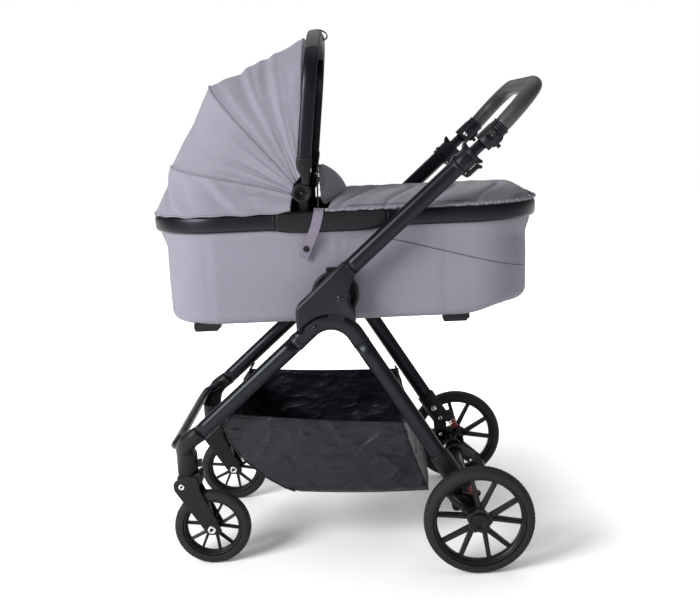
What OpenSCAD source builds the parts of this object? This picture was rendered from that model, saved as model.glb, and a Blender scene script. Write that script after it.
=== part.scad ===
// Baby stroller with a carrycot. Travel direction is -X, left is -Y, the floor is Z = 0.
// The origin lies on the floor under the middle of the carrycot.

/* [Overall] */
// Distance between the front and the rear wheel axles
wheelbase = 618; // [560:1:700]
// How far the rear axle lies behind the middle of the cot
rear_axle_x = 276; // [250:1:300]
// Distance between the centre planes of the two side frames
frame_width = 476; // [440:1:580]
// Distance between the centre planes of the front wheels
front_track = 396; // [360:1:410]
// Distance between the centre planes of the rear wheels
rear_track = 600; // [590:1:720]

/* [Side frames] */
// Height of a frame tube's section, seen from the side
tube_tall = 38; // [34:0.5:42]
// Width of a frame tube's section, across the stroller
tube_wide = 32; // [30:0.5:36]
// Wall of the frame tubes
tube_wall = 2; // [1.5:0.1:2.5]
// Middle of the bend over the legs, behind the middle of the cot
arch_x = -40; // [-50:1:-30]
// Height of the middle of that bend
arch_z = 515; // [500:1:530]
// Radius of the bend, at the middle of its tube
arch_r = 66; // [62:0.5:72]
// Width of the bend across the stroller
arch_wide = 28; // [24:0.5:28]
// Height of the front leg's lower end
knee_z = 333; // [320:1:345]

/* [Handle] */
// Fold pivot, behind the middle of the cot
pivot_x = -14; // [-18:1:-10]
// Height of the fold pivot
pivot_z = 636; // [630:1:645]
// Slope of the push tubes in degrees
push_slope = 41; // [38:0.5:44]
// Distance of the push tube's axis above the pivot
push_rise = 32; // [30:0.5:36]
// Length from the pivot to the end of the push tube
push_len = 404; // [380:1:440]
// Diameter of the tube that slides in the push tube
slide_d = 25; // [22:0.5:25]
// Length of that tube above the push tube's end, with the handle at rest
slide_out = 106; // [100:1:140]
// Length of the handle's bow beyond its sleeves
bow_reach = 118; // [100:1:150]
// Tilt of the handle's bow against the push tubes in degrees
bow_tilt = 5; // [0:0.5:10]
// Radius of the handle's corners
bow_corner = 85; // [60:1:110]
// Diameter of the padded grip
grip_d = 36; // [32:0.5:40]

/* [Wheels] */
// Diameter of a rear wheel
rear_d = 250; // [220:1:290]
// Width of a rear tyre
rear_tyre_w = 38; // [34:1:42]
// Diameter of a front wheel
front_d = 180; // [160:1:200]
// Width of a front tyre
front_tyre_w = 32; // [28:1:34]
// Thickness of the rubber, from rim to tread
tyre_t = 20; // [16:0.5:24]
// Number of spoke pairs in a wheel
spoke_pairs = 5; // [4:1:7]
// Diameter of the wheel axles
axle_d = 12; // [10:0.5:14]
// Distance of the front axle behind its swivel axis
trail = 49; // [40:1:60]
// Diameter of the swivel housing
swivel_d = 48; // [44:0.5:52]
// Height of the swivel housing's lower face
swivel_z = 225; // [220:1:240]

/* [Carrycot] */
// Length of the cot over its rim
cot_len = 904; // [860:1:940]
// Width of the cot over its rim
cot_w = 426; // [400:1:430]
// Radius of the cot's corners, seen from above
cot_corner = 165; // [120:1:190]
// Height of the rim's lower edge above the floor
rim_z = 784; // [770:1:800]
// Height of the rim
rim_h = 38; // [30:1:44]
// Height of the cot's floor above the ground
cot_z = 570; // [560:1:580]
// Thickness of the cot's wall
cot_wall = 8; // [5:0.5:12]
// Thickness of the mattress
mattress_t = 35; // [25:1:60]

/* [Canopy] */
// Canopy hub, behind the middle of the cot
hub_x = -89; // [-95:1:-80]
// Height of the canopy hub
hub_z = 866; // [860:1:880]
// Reach of the canopy's front bow from the hub
bow_r = 361; // [330:1:380]
// Reach of the upper rib from the hub
upper_r = 317; // [300:1:350]
// Reach of the lower rib from the hub
lower_r = 314; // [300:1:350]
// Thickness of the canopy cloth solid
cloth_t = 3; // [2:0.5:4]

/* [Basket] */
// Width of the basket at its top
basket_w = 396; // [360:1:400]
// Height of the basket's floor above the ground
basket_z = 148; // [140:1:170]

/* [Hidden] */
$fn = 48;

// Gap between a shaft and its bore
shaft_gap = 0.05;
// Gap between faces that move past each other
slip = 0.6;
// Half the distance between the side frames
side_y = frame_width / 2;
front_axle_x = rear_axle_x - wheelbase;
swivel_x = front_axle_x - trail;
arch = [arch_x, arch_z];
pivot = [pivot_x, pivot_z];
front_axle = [front_axle_x, front_d / 2];
rear_axle = [rear_axle_x, rear_d / 2];
hub = [hub_x, hub_z];
cheek_t = 6;
// Half widths of the layers in a fold joint, from the tube's middle outward
cheek_in = max(tube_wide, arch_wide) / 2 + slip;
cheek_out = cheek_in + cheek_t;
pin_d = 14;
ear_r = 22;
block_end = 58;
collar_len = 51;
collar_start = push_len - 28;
sleeve_start = push_len + 49;
sleeve_len = 56;
rod_drop = 14.5;
knob_z = swivel_z + 23;

function from(p, a, d) = p + [d * cos(a), d * sin(a)];
function angle_to(p, q) = atan2(q[1] - p[1], q[0] - p[0]);
function arc(c, r, a, b, n) = [for (i = [0:n]) from(c, a + (b - a) * i / n, r)];
// Angle at which a line from point p touches the bend, on the side given by +1 or -1
function touch(p, side) = angle_to(arch, p) + side * acos(arch_r / norm(p - arch));

// Legs run straight from the bend to the knee and to the rear axle
knee = [front_axle_x - 7, knee_z];
front_touch = touch(knee, -1) + 360;
rear_touch = touch(rear_axle, 1);
front_slope = front_touch + 90;
rear_slope = rear_touch - 90;
front_seam = from(from(arch, front_touch, arch_r), front_slope, 48);
rear_seam = from(from(arch, rear_touch, arch_r), rear_slope, 25);
// Points on the rear leg, counted up from the axle
function on_rear(up, off) = from(from(rear_axle, rear_slope + 180, up), rear_slope + 90, off);
leg_foot = on_rear(77, 0);
arm_pivot = rear_axle + [-46, 28];
tube_centre = rear_axle + [-18, 17];
rod_centre = rear_axle + [-44, 5];
spring_top = on_rear(62, 19);
spring_bottom = on_rear(36, 19);
// Points on the push tube, counted along it from beside the pivot
function on_push(along, off) = from(from(pivot, push_slope + 90, push_rise + off), push_slope, along);

module on(side) {
    if (side == "left") mirror([0, 1, 0]) children();
    else children();
}

// Everything below is drawn on the right side, at +Y

module stadium(tall, wide) {
    long = max(tall, wide) - min(tall, wide);
    r = min(tall, wide) / 2;
    v = tall > wide ? [long / 2, 0] : [0, long / 2];
    if (long > 0) square(tall > wide ? [long, wide] : [tall, long], center = true);
    translate(v) circle(r);
    translate(-v) circle(r);
}

// A bar with round ends, drawn in the plane of the side view
module bar(p, q, w) {
    translate(p) circle(w / 2);
    translate(q) circle(w / 2);
    // A hair narrower than the ends, so that no edge is merely tangent
    strip(p, q, w - 0.1);
}

// A bar with square ends
module strip(p, q, w) {
    translate(p) rotate(angle_to(p, q)) translate([0, -w / 2]) square([norm(q - p), w]);
}

// Stands a side-view outline up, from y0 outward by t
module slab(y0, t) {
    translate([0, y0 + t, 0]) rotate([90, 0, 0]) linear_extrude(t) children();
}

// Extrudes a section from p to q in the plane y
module beam(p, q, y) {
    translate([p[0], y, p[1]]) rotate([0, 90 - angle_to(p, q), 0])
        linear_extrude(norm(q - p)) children();
}

module shaft(p, y0, y1, d) {
    translate([p[0], y0, p[1]]) rotate([-90, 0, 0]) cylinder(d = d, h = y1 - y0);
}

// A round screw head with a hexagon socket, looking outward from y
module screw_head(p, y, d, h) {
    translate([p[0], y, p[1]]) rotate([-90, 0, 0]) difference() {
        union() {
            cylinder(d = d, h = h / 2);
            translate([0, 0, h / 2]) cylinder(d = d * 0.8, h = h / 2);
        }
        translate([0, 0, h * 0.4]) cylinder(d = d * 0.4, h = h, $fn = 6);
    }
}

/* ---- side frames ---- */

module front_leg() {
    color("#26272b") beam(front_seam, knee, side_y) difference() {
        stadium(tube_tall, tube_wide);
        stadium(tube_tall - 2 * tube_wall, tube_wide - 2 * tube_wall);
    }
}

module rear_leg() {
    color("#26272b") beam(rear_seam, leg_foot, side_y) difference() {
        stadium(tube_tall, tube_wide);
        stadium(tube_tall - 2 * tube_wall, tube_wide - 2 * tube_wall);
    }
}

// The bend, its two straight ends and the ear that carries the fold pivot
module side_arch() {
    color("#2e2f33") slab(side_y - arch_wide / 2, arch_wide) difference() {
        union() {
            intersection() {
                difference() {
                    translate(arch) circle(arch_r + tube_tall / 2, $fn = 96);
                    translate(arch) circle(arch_r - tube_tall / 2, $fn = 96);
                }
                polygon([arch, from(arch, rear_touch, 3 * arch_r),
                    from(arch, (rear_touch + front_touch) / 2, 4 * arch_r),
                    from(arch, front_touch, 3 * arch_r)]);
            }
            strip(from(arch, front_touch, arch_r), front_seam, tube_tall);
            strip(from(arch, rear_touch, arch_r), rear_seam, tube_tall);
            translate(pivot) circle(ear_r);
            strip(pivot, from(arch, angle_to(arch, pivot), arch_r), 30);
        }
        translate(pivot) circle(pin_d / 2 + shaft_gap);
    }
}

/* ---- front end ---- */

swivel_top = swivel_z + 50;
swivel_pin_d = 12;
bar_centre = [swivel_x - 22, swivel_top + 22];
bar_reach = front_track / 2 - swivel_d / 2 + 3;

// The crossbar, or the socket around its end, from one y to the other
module crossbar(y0, y1, tall, wide) {
    translate([bar_centre[0], y1, bar_centre[1]]) rotate([90, 0, 0])
        rotate([0, 0, 52]) linear_extrude(y1 - y0) stadium(tall, wide);
}

module front_knee() {
    bend_in = [swivel_x + 4, swivel_top + 18];
    color("#1c1c1f") difference() {
        union() {
            beam(from(knee, angle_to(knee, bend_in), -6), bend_in, side_y)
                stadium(tube_tall + 2, tube_wide + 2);
            hull() {
                beam([swivel_x + 10, swivel_top + 22], bend_in, side_y)
                    stadium(tube_tall + 2, tube_wide + 2, $fn = 32);
                translate([swivel_x, front_track / 2, swivel_top - 12])
                    cylinder(d = swivel_d, h = 24, $fn = 32);
            }
            translate([swivel_x, front_track / 2, swivel_z]) cylinder(d = swivel_d, h = swivel_top - swivel_z);
            crossbar(bar_reach, side_y, 50, 24);
        }
        // The leg's end is the knee's flat end
        beam(from(knee, front_slope, -40), knee, side_y) stadium(tube_tall + 20, tube_wide + 20);
        translate([swivel_x, front_track / 2, swivel_z - 1])
            cylinder(d = swivel_pin_d + 2 * shaft_gap, h = swivel_top - swivel_z + 1);
        translate([swivel_x + swivel_d / 2 - 8, front_track / 2 - 3, knob_z - 12]) cube([10, 6, 26]);
    }
}

module front_crossbar() {
    color("#3a3b40") crossbar(-bar_reach, bar_reach, 46, 20);
}

module caster_fork() {
    y = front_track / 2;
    plate_in = front_tyre_w / 2 + 4;
    plate_t = 5;
    fork_top = swivel_z - slip;
    shoulder = [swivel_x, fork_top - 12];
    color("#1c1c1f") {
        difference() {
            union() {
                translate([swivel_x, y, fork_top - 12]) cylinder(d = swivel_d - 2, h = 12);
                translate([swivel_x, y, fork_top - 1]) cylinder(d = swivel_pin_d, h = 44);
                for (s = [-1, 1]) slab(y + s * (plate_in + plate_t / 2) - plate_t / 2, plate_t) {
                    bar(shoulder + [-10, -4], front_axle, 26);
                    bar(shoulder + [8, 2], shoulder + [-10, -4], 20);
                }
            }
            shaft(front_axle, y - 40, y + 40, axle_d + 2 * shaft_gap);
            // Room for the tyre under the crown
            shaft(front_axle, y - plate_in, y + plate_in, front_d + 8);
        }
    }
    color("#c8c8cc") {
        shaft(front_axle, y - plate_in - plate_t, y + plate_in + plate_t, axle_d);
        for (s = [0, 1]) translate([0, 2 * y * s, 0]) mirror([0, s, 0]) {
            face = plate_in + plate_t;
            screw_head(front_axle, y + face, 20, 3);
            screw_head(shoulder + [-12, -10], y + face, 16, 2.5);
        }
    }
}

module swivel_lock() {
    color("#111113") {
        translate([swivel_x + swivel_d / 2 + slip, front_track / 2 - 7, knob_z - 8]) cube([9, 14, 16]);
        translate([swivel_x + swivel_d / 2 - 6, front_track / 2 - 2.4, knob_z - 8]) cube([8, 4.8, 10]);
    }
}

/* ---- wheels ---- */

module tyre(d, w, c, y) {
    color("#2c2c2f") translate([c[0], y, c[1]]) rotate([90, 0, 0]) rotate_extrude($fn = 96) {
        intersection() {
            translate([d / 2 - tyre_t, -w / 2]) square([tyre_t, w]);
            union() {
                translate([d / 2 - w * 0.62, 0]) circle(w * 0.62, $fn = 64);
                translate([d / 2 - tyre_t, -w / 2 + 5]) square([tyre_t / 2, w - 10]);
            }
        }
    }
}

module front_tyre() {
    tyre(front_d, front_tyre_w, front_axle, front_track / 2);
}

module rear_tyre() {
    tyre(rear_d, rear_tyre_w, rear_axle, rear_track / 2);
}

module rim(d, w, c, y, hub_r, hub_in, hub_out, spoke_w) {
    ring = d / 2 - tyre_t;
    color("#232326") difference() {
        union() {
            translate([c[0], y, c[1]]) rotate([90, 0, 0]) rotate_extrude($fn = 96)
                translate([ring - 10, -w / 2 + 6]) square([10 - 0.1, w - 12]);
            shaft(c, y - hub_in, y + hub_out, hub_r * 2);
            slab(y - 4, 12) for (i = [0:spoke_pairs - 1]) {
                mid = 82 + i * 360 / spoke_pairs;
                for (s = [-1, 1]) bar(from(c, mid, hub_r * 0.8), from(c, mid + s * 16.5, ring - 6), spoke_w);
            }
        }
        shaft(c, y - hub_in - 1, y + hub_out + 1, axle_d + 2 * shaft_gap);
    }
}

module front_rim() {
    y = front_track / 2;
    rim(front_d, front_tyre_w, front_axle, y, 18, front_tyre_w / 2 + 3, front_tyre_w / 2 + 3, 7);
}

hub_cap_y = rear_track / 2 + 17;

module rear_rim() {
    y = rear_track / 2;
    rim(rear_d, rear_tyre_w, rear_axle, y, 26, 34, 17, 9);
    color("#1b1b1e") shaft(rear_axle, hub_cap_y + 0.1, hub_cap_y + 5, 40);
}

/* ---- rear end ---- */

lug_y = side_y - tube_wide / 2;
lug_t = 13;
arm_y = lug_y + lug_t + slip;
arm_t = 16;
housing_from = on_rear(162, 0);
housing_to = on_rear(70, 0);

module rear_housing() {
    color("#161618") difference() {
        union() {
            beam(housing_from, housing_to, side_y) stadium(tube_tall + 9, tube_wide + 7);
            slab(lug_y, lug_t) {
                bar(on_rear(90, 0), arm_pivot, 34);
                bar(arm_pivot, tube_centre, 30);
                bar(arm_pivot, rod_centre, 22);
            }
            beam(spring_top, on_rear(84, 19), arm_y + arm_t / 2) circle(13);
        }
        beam(on_rear(400, 0), on_rear(76, 0), side_y) stadium(tube_tall + 0.2, tube_wide + 0.2);
        shaft(arm_pivot, lug_y - 1, lug_y + lug_t + 1, 10 + 2 * shaft_gap);
    }
}

module rear_axle_tube() {
    color("#2a2b30") {
        shaft(tube_centre, -lug_y, lug_y, 28);
        shaft(rod_centre, -lug_y, lug_y, 8);
    }
}

module swing_arm() {
    color("#1a1a1d") difference() {
        union() {
            slab(arm_y, arm_t) {
                bar(arm_pivot, rear_axle, 26);
                translate(rear_axle) circle(19);
                bar(rear_axle, on_rear(26, 19), 18);
            }
            beam(on_rear(30, 19), spring_bottom, arm_y + arm_t / 2) circle(12);
            shaft(arm_pivot, lug_y - 3, arm_y + 1, 10);
        }
    }
    color("#c8c8cc") shaft(rear_axle, arm_y + arm_t, hub_cap_y, axle_d);
}

module spring() {
    color("#c01818") beam(spring_bottom, spring_top, arm_y + arm_t / 2) difference() {
        circle(10);
        circle(7);
    }
}

pedal_y = 130;
pedal_w = 84;

module brake_pedal() {
    root = tube_centre + [16, -4];
    tip = tube_centre + [78, -46];
    color("#222226") difference() {
        translate([0, pedal_y - pedal_w / 2, 0]) union() {
            slab(0, pedal_w) bar(root, tip, 6);
            for (y = [8, pedal_w - 20]) slab(y, 12) {
                translate(tube_centre) circle(21);
                bar(tube_centre, root + [18, -16], 12);
            }
        }
        shaft(tube_centre, -side_y, side_y, 28 + 2 * shaft_gap);
    }
}

/* ---- basket ---- */

basket_front = [front_axle_x + 63, knee_z + 26];
basket_back = rear_axle + [-160, 198];
basket_low = [front_axle_x + 205, basket_z + 8];
basket_heel = rear_axle + [-106, basket_z - rear_d / 2];

module basket() {
    wall = 4;
    outer = concat([basket_front, basket_back, basket_heel],
        [[(basket_low[0] + basket_heel[0]) / 2, basket_z], basket_low,
         (basket_front + basket_low) / 2 + [-16, -18]]);
    middle = [(basket_front[0] + basket_heel[0]) / 2, basket_z + 60];
    color("#17181c") difference() {
        translate([0, -basket_w / 2, 0]) slab(0, basket_w) polygon(outer);
        translate([0, -basket_w / 2 + wall, 0]) slab(0, basket_w - 2 * wall) polygon([
            basket_front + [wall + 6, 40], basket_back + [-wall, 40], basket_back + [-wall, 0],
            basket_heel + [-wall, wall], [middle[0] + 50, basket_z + wall], basket_low + [3, wall],
            (basket_front + basket_low) / 2 + [-16 + wall, -18 + wall], basket_front + [wall + 6, 0]]);
    }
}

/* ---- fasteners of the frame, both sides ---- */

module frame_screws() {
    s2 = from(arch, front_touch - 10, arch_r - 2);
    color("#0e0e10") for (side = ["left", "right"]) on(side) {
        screw_head(s2, side_y + arch_wide / 2, 13, 1.8);
        screw_head(on_rear(96, 0), side_y + tube_wide / 2 + 3.5, 12, 2);
        translate([0, 2 * side_y, 0]) mirror([0, 1, 0])
            screw_head(on_rear(120, 0), side_y + tube_wide / 2 + 3.5, 12, 2);
    }
}

/* ---- fold joint and handle ---- */

socket_w = 26;
adapter_t = 10;
adapter_y = side_y - cheek_out - 1.4 - adapter_t;

module cot_adapters() {
    color("#111113") for (side = ["left", "right"]) on(side) {
        difference() {
            shaft(pivot - [12, 0], adapter_y, adapter_y + adapter_t, 108);
            translate([pivot[0] - socket_w / 2, adapter_y - 1, pivot[1] - 20]) cube([socket_w, 7.5, 80]);
        }
        shaft(pivot, adapter_y + adapter_t, side_y + cheek_out + slip, pin_d);
        screw_head(pivot, side_y + cheek_out + slip, 20, 3);
    }
}

module hinge_block() {
    top = on_push(block_end, tube_tall / 2);
    low = on_push(block_end, -tube_tall / 2);
    rim_r = arch_r + tube_tall / 2 + 1;
    left = pivot[0] - 100;
    color("#303136") difference() {
        union() {
            for (y = [side_y + cheek_in, side_y - cheek_out]) slab(y, cheek_t) difference() {
                polygon(concat([low, top], arc([left + 24, pivot[1] - 30], 24, 131, 180, 6),
                    [[left, arch[1] + 30], arch + [0, 40], arch + [rim_r * 0.68, rim_r * 0.73]],
                    arc(pivot + [70, 4], 52, 222, 140, 8)));
                translate(arch) circle(rim_r, $fn = 96);
            }
            beam(on_push(38, 0), on_push(block_end, 0), side_y) stadium(tube_tall, 2 * cheek_in + 1);
            beam(on_push(block_end, 0), on_push(block_end + 30, 0), side_y)
                stadium(tube_tall - 2 * tube_wall - 0.4, tube_wide - 2 * tube_wall - 0.4);
        }
        shaft(pivot, side_y - 40, side_y + 40, pin_d + 2 * shaft_gap);
        beam(on_push(20, -rod_drop), on_push(block_end + 31, -rod_drop), side_y) circle(2.9);
    }
}

module push_tube() {
    color("#26272b") difference() {
        beam(on_push(block_end, 0), on_push(push_len, 0), side_y) difference() {
            stadium(tube_tall, tube_wide);
            stadium(tube_tall - 2 * tube_wall, tube_wide - 2 * tube_wall);
        }
        trigger_slot();
    }
}

// Slot through which the fold trigger reaches its rod
module trigger_slot() {
    beam(on_push(push_len - 22, -rod_drop - 6), on_push(push_len - 2, -rod_drop - 6), side_y)
        square([18, 5], center = true);
}

module tube_collars() {
    color("#222328") for (side = ["left", "right"]) on(side) difference() {
        union() {
            beam(on_push(collar_start, 0), on_push(collar_start + collar_len, 0), side_y)
                stadium(tube_tall + 7, tube_wide + 7);
            for (s = [-1, 1]) beam(on_push(collar_start + collar_len - 7, s * 22),
                on_push(collar_start + collar_len, s * 25), side_y) square([14, 14], center = true);
        }
        beam(on_push(collar_start - 1, 0), on_push(push_len + 0.2, 0), side_y)
            stadium(tube_tall + 0.2, tube_wide + 0.2);
        beam(on_push(collar_start, 0), on_push(collar_start + collar_len + 1, 0), side_y)
            circle(d = slide_d + 2 * shaft_gap);
        trigger_slot();
    }
}

module fold_trigger() {
    at = push_len - 15;
    grip_off = -tube_tall / 2 - 3.5 - slip - 4.5;
    color("#131315") {
        beam(on_push(at - 16, grip_off), on_push(at + 12, grip_off), side_y) square([9, 18], center = true);
        beam(on_push(at + 8, grip_off - 7), on_push(at + 12, grip_off - 7), side_y)
            square([8, 18], center = true);
        beam(on_push(at - 2, (grip_off - rod_drop) / 2), on_push(at + 2, (grip_off - rod_drop) / 2), side_y)
            square([-grip_off - rod_drop + 1, 3], center = true);
        beam(on_push(28, -rod_drop), on_push(at + 2, -rod_drop), side_y) circle(d = 3);
        beam(on_push(19, -rod_drop), on_push(40, -rod_drop), side_y) circle(d = 5);
    }
}

bow_start = sleeve_start + sleeve_len;
// The handle's bow lies in a plane tilted against the push tubes
module in_bow_plane() {
    p = on_push(bow_start, 0);
    translate([p[0], 0, p[1]]) rotate([0, -push_slope - bow_tilt, 0]) children();
}

module bow_path(d, from_x) {
    x = bow_reach - bow_corner;
    for (s = [-1, 1]) {
        translate([from_x, s * side_y, 0]) rotate([0, 90, 0]) cylinder(d = d, h = x - from_x);
        translate([x, s * (side_y - bow_corner), 0]) rotate([0, 0, s > 0 ? 0 : -90])
            rotate_extrude(angle = 90, $fn = 64) translate([bow_corner, 0]) circle(d = d);
    }
    translate([bow_reach, -side_y + bow_corner, 0]) rotate([-90, 0, 0])
        cylinder(d = d, h = 2 * (side_y - bow_corner));
}

module handle_tube() {
    color("#2b2c31") {
        for (s = [-1, 1]) beam(on_push(push_len + slide_out - 250, 0), on_push(bow_start, 0), s * side_y)
            circle(d = slide_d);
        in_bow_plane() bow_path(slide_d - 2, 2);
    }
}

module handle_grip() {
    color("#35343a") in_bow_plane() difference() {
        bow_path(grip_d, 4);
        bow_path(slide_d - 1.9, 3);
    }
}

module handle_sleeves() {
    a = on_push(sleeve_start, 0);
    b = on_push(bow_start, 0);
    color("#222328") for (side = ["left", "right"]) on(side) {
        difference() {
            union() {
                beam(a, b, side_y) stadium(grip_d + 6, grip_d + 2);
                beam(on_push(sleeve_start + 12, -10), on_push(bow_start - 10, -12), side_y)
                    square([grip_d - 8, 22], center = true);
            }
            beam(from(a, push_slope, -5), from(b, push_slope, 5), side_y) circle(d = slide_d + 2 * shaft_gap);
            button_axis(13.4, 40, -tube_tall);
            button_axis(9.4, 40, 0);
        }
        translate([0, side_y + grip_d / 2 + 0.9, 0])
            shaft(on_push(sleeve_start + 26, 2), 0, 1.6, 24);
    }
}

// Axis of the release button, square to the tube on its underside
module button_axis(d, h, off) {
    p = on_push(sleeve_start + 22, off);
    translate([p[0], side_y, p[1]]) rotate([0, 180 - push_slope, 0]) cylinder(d = d, h = h);
}

module adjust_button() {
    p = on_push(sleeve_start + 22, -slide_d / 2 - 4.5);
    color("#131315") translate([p[0], side_y, p[1]]) rotate([0, 180 - push_slope, 0])
        cylinder(d = 9, h = 15.5);
}

/* ---- carrycot ---- */

module cot_plan(inset, sides = 96) {
    r = cot_corner - inset;
    x = cot_len / 2 - cot_corner;
    y = cot_w / 2 - cot_corner;
    for (sx = [-1, 1], sy = [-1, 1]) translate([sx * x, sy * y]) circle(r, $fn = sides);
    square([2 * x, 2 * (y + r)], center = true);
    square([2 * (x + r), 2 * y], center = true);
}

shell_in = 16;
rim_top = rim_z + rim_h;

module cot_shell() {
    taper = [1 - 26 / cot_len, 1 - 26 / cot_w];
    depth = rim_z - cot_z;
    color("#716e78") difference() {
        translate([0, 0, rim_z]) mirror([0, 0, 1]) linear_extrude(depth, scale = taper, slices = 1)
            cot_plan(shell_in, 48);
        translate([0, 0, rim_z + 1]) mirror([0, 0, 1]) linear_extrude(depth - cot_wall + 1, scale = taper,
            slices = 1) cot_plan(shell_in + cot_wall, 48);
    }
}

module cot_rim() {
    color("#1a1a1c") translate([0, 0, rim_z + 0.2]) linear_extrude(rim_h) difference() {
        cot_plan(3);
        cot_plan(20);
    }
}

module hand_holds() {
    x = hub_x - 60;
    color("#151517") for (side = ["left", "right"]) on(side)
        translate([x, cot_w / 2 - 2.9, rim_z - 6]) cube([245, 2.9, rim_h + 10]);
}

module mattress() {
    color("#d8d6da") translate([0, 0, cot_z + cot_wall + 0.5])
        linear_extrude(mattress_t) cot_plan(shell_in + 42);
}

module cot_feet() {
    color("#141416") for (x = [-328, 247], s = [-1, 1])
        translate([x - 30, s * (cot_w / 2 - 63) - 15, cot_z - 17]) cube([60, 30, 17]);
}

module cot_latches() {
    y = adapter_y;
    color("#141416") for (side = ["left", "right"]) on(side) {
        translate([pivot[0] - socket_w / 2 + slip, y - 1, pivot[1] - 12]) cube([socket_w - 2 * slip, 7, 72]);
        translate([pivot[0] - 30, y - 11, pivot[1] - 12]) cube([60, 11 - slip, 72]);
    }
}

cover_x = hub_x + 48;

module cot_cover() {
    color("#7b7883") intersection() {
        hull() {
            translate([0, 0, rim_top + 0.5]) linear_extrude(10) cot_plan(6, 32);
            translate([0, 0, rim_top + 26]) linear_extrude(6) cot_plan(70, 32);
        }
        translate([cover_x, -cot_w, rim_top]) cube([cot_len, 2 * cot_w, 60]);
    }
}

module wind_flap() {
    half = cot_w / 2 - 40;
    rise = 88;
    r = (half * half + rise * rise) / (2 * rise);
    color("#6a6772") translate([cover_x - 16, 0, rim_top + 6]) rotate([0, -4, 0]) rotate([90, 0, 90])
        linear_extrude(13) intersection() {
            translate([0, rise - r]) circle(r, $fn = 96);
            translate([-half, 0]) square([2 * half, rise]);
        }
}

module side_straps() {
    color("#7b7883") for (side = ["left", "right"]) on(side) {
        translate([hub_x + 26, cot_w / 2 + 0.3, rim_z - 52]) cube([22, 1.5, rim_h + 52]);
        shaft([hub_x + 37, rim_z - 40], cot_w / 2 + 1.8, cot_w / 2 + 4.5, 12);
    }
}

/* ---- canopy ---- */

bow_y = cot_w / 2 - 8;
bow_t = 16;
upper_y = bow_y - bow_t / 2 - 6;
lower_y = upper_y - 6.5;
post_y = lower_y - 8;
bow_angle = 83.3;
upper_angle = 130.5;
lower_angle = 168;
hem_angle = 186;

module canopy_hubs() {
    color("#17171a") for (side = ["left", "right"]) on(side) {
        slab(post_y - 2.5, 5) {
            translate(hub) circle(17);
            translate([hub[0] - 17, rim_z + 6]) square([34, hub[1] - rim_z - 6]);
        }
        // Foot that reaches the rim
        translate([hub[0] - 17, post_y, rim_z + 6]) cube([34, cot_w / 2 - 20 - post_y, 16]);
        shaft(hub, post_y + 2.5, bow_y + bow_t / 2 + 1, 10);
    }
}

// An upside-down U that stands on the hubs, in the vertical plane through them
module hoop(y, r, corner, from_z) {
    for (s = [-1, 1]) {
        translate([0, s * y, from_z]) linear_extrude(r - corner - from_z) children();
        translate([0, s * (y - corner), r - corner]) rotate([90, 0, s > 0 ? 90 : -90])
            rotate_extrude(angle = 90, $fn = 64) translate([corner, 0]) rotate(90) children();
    }
    translate([0, y - corner, r]) rotate([90, 0, 0]) linear_extrude(2 * (y - corner)) children();
}

module at_angle(a) {
    translate([hub[0], 0, hub[1]]) rotate([0, 90 - a, 0]) children();
}

module hub_eye(y, t, d) {
    for (s = [-1, 1]) translate([0, s * y, 0]) rotate([90, 0, 0]) cylinder(d = d, h = t, center = true);
}

module hub_bore() {
    rotate([90, 0, 0]) cylinder(d = 10 + 2 * shaft_gap, h = cot_w + 40, center = true);
}

canopy_corner = 135;

module canopy_bow() {
    color("#1d1d20") at_angle(bow_angle) difference() {
        union() {
            hoop(bow_y, bow_r - 9, canopy_corner, 40) stadium(32, bow_t);
            hub_eye(bow_y, bow_t, 40);
            for (s = [-1, 1]) translate([0, s * bow_y, 0])
                linear_extrude(62) square([36, bow_t], center = true);
        }
        hub_bore();
    }
}

module rib(y, r, d) {
    color("#1d1d20") difference() {
        union() {
            hoop(y, r - 6, canopy_corner + 1, 8) circle(d = d);
            hub_eye(y, 5, 20);
        }
        hub_bore();
    }
}

module rib_upper() at_angle(upper_angle) rib(upper_y, upper_r, 5);
module rib_lower() at_angle(lower_angle) rib(lower_y, lower_r, 5);

// Outline of the canopy across the stroller, at a reach r from the hub
module canopy_section(half, r) {
    c = min(canopy_corner, half - 10);
    translate([-half, 30]) square([2 * half, r - 30 - c]);
    translate([-half + c, 30]) square([2 * (half - c), r - 30]);
    for (s = [-1, 1]) translate([s * (half - c), r - c]) circle(c);
}

module section_at(a, r, half) {
    at_angle(a) rotate([90, 0, 90]) linear_extrude(0.5) canopy_section(half, r);
}

// One cloth panel between two angles about the hub
module panel(a0, r0, h0, a1, r1, h1) {
    color("#726f79") difference() {
        hull() {
            section_at(a0, r0, h0, $fn = 32);
            section_at(a1, r1, h1, $fn = 32);
        }
        hull() {
            section_at(a0 - 2, r0 - cloth_t, h0 - cloth_t, $fn = 32);
            section_at(a1 + 2, r1 - cloth_t, h1 - cloth_t, $fn = 32);
        }
    }
}

cloth_y = upper_y + 3 + cloth_t;
module canopy_top() panel(bow_angle + 5, bow_r - bow_t - 6, cloth_y, upper_angle - 0.6, upper_r + 3, cloth_y);
module canopy_middle() panel(upper_angle + 0.6, upper_r + 3, cloth_y, lower_angle - 0.6, lower_r + 3, cloth_y);
module canopy_lower() panel(lower_angle + 0.6, lower_r + 3, cloth_y, hem_angle, lower_r + 40, cloth_y);

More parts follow.
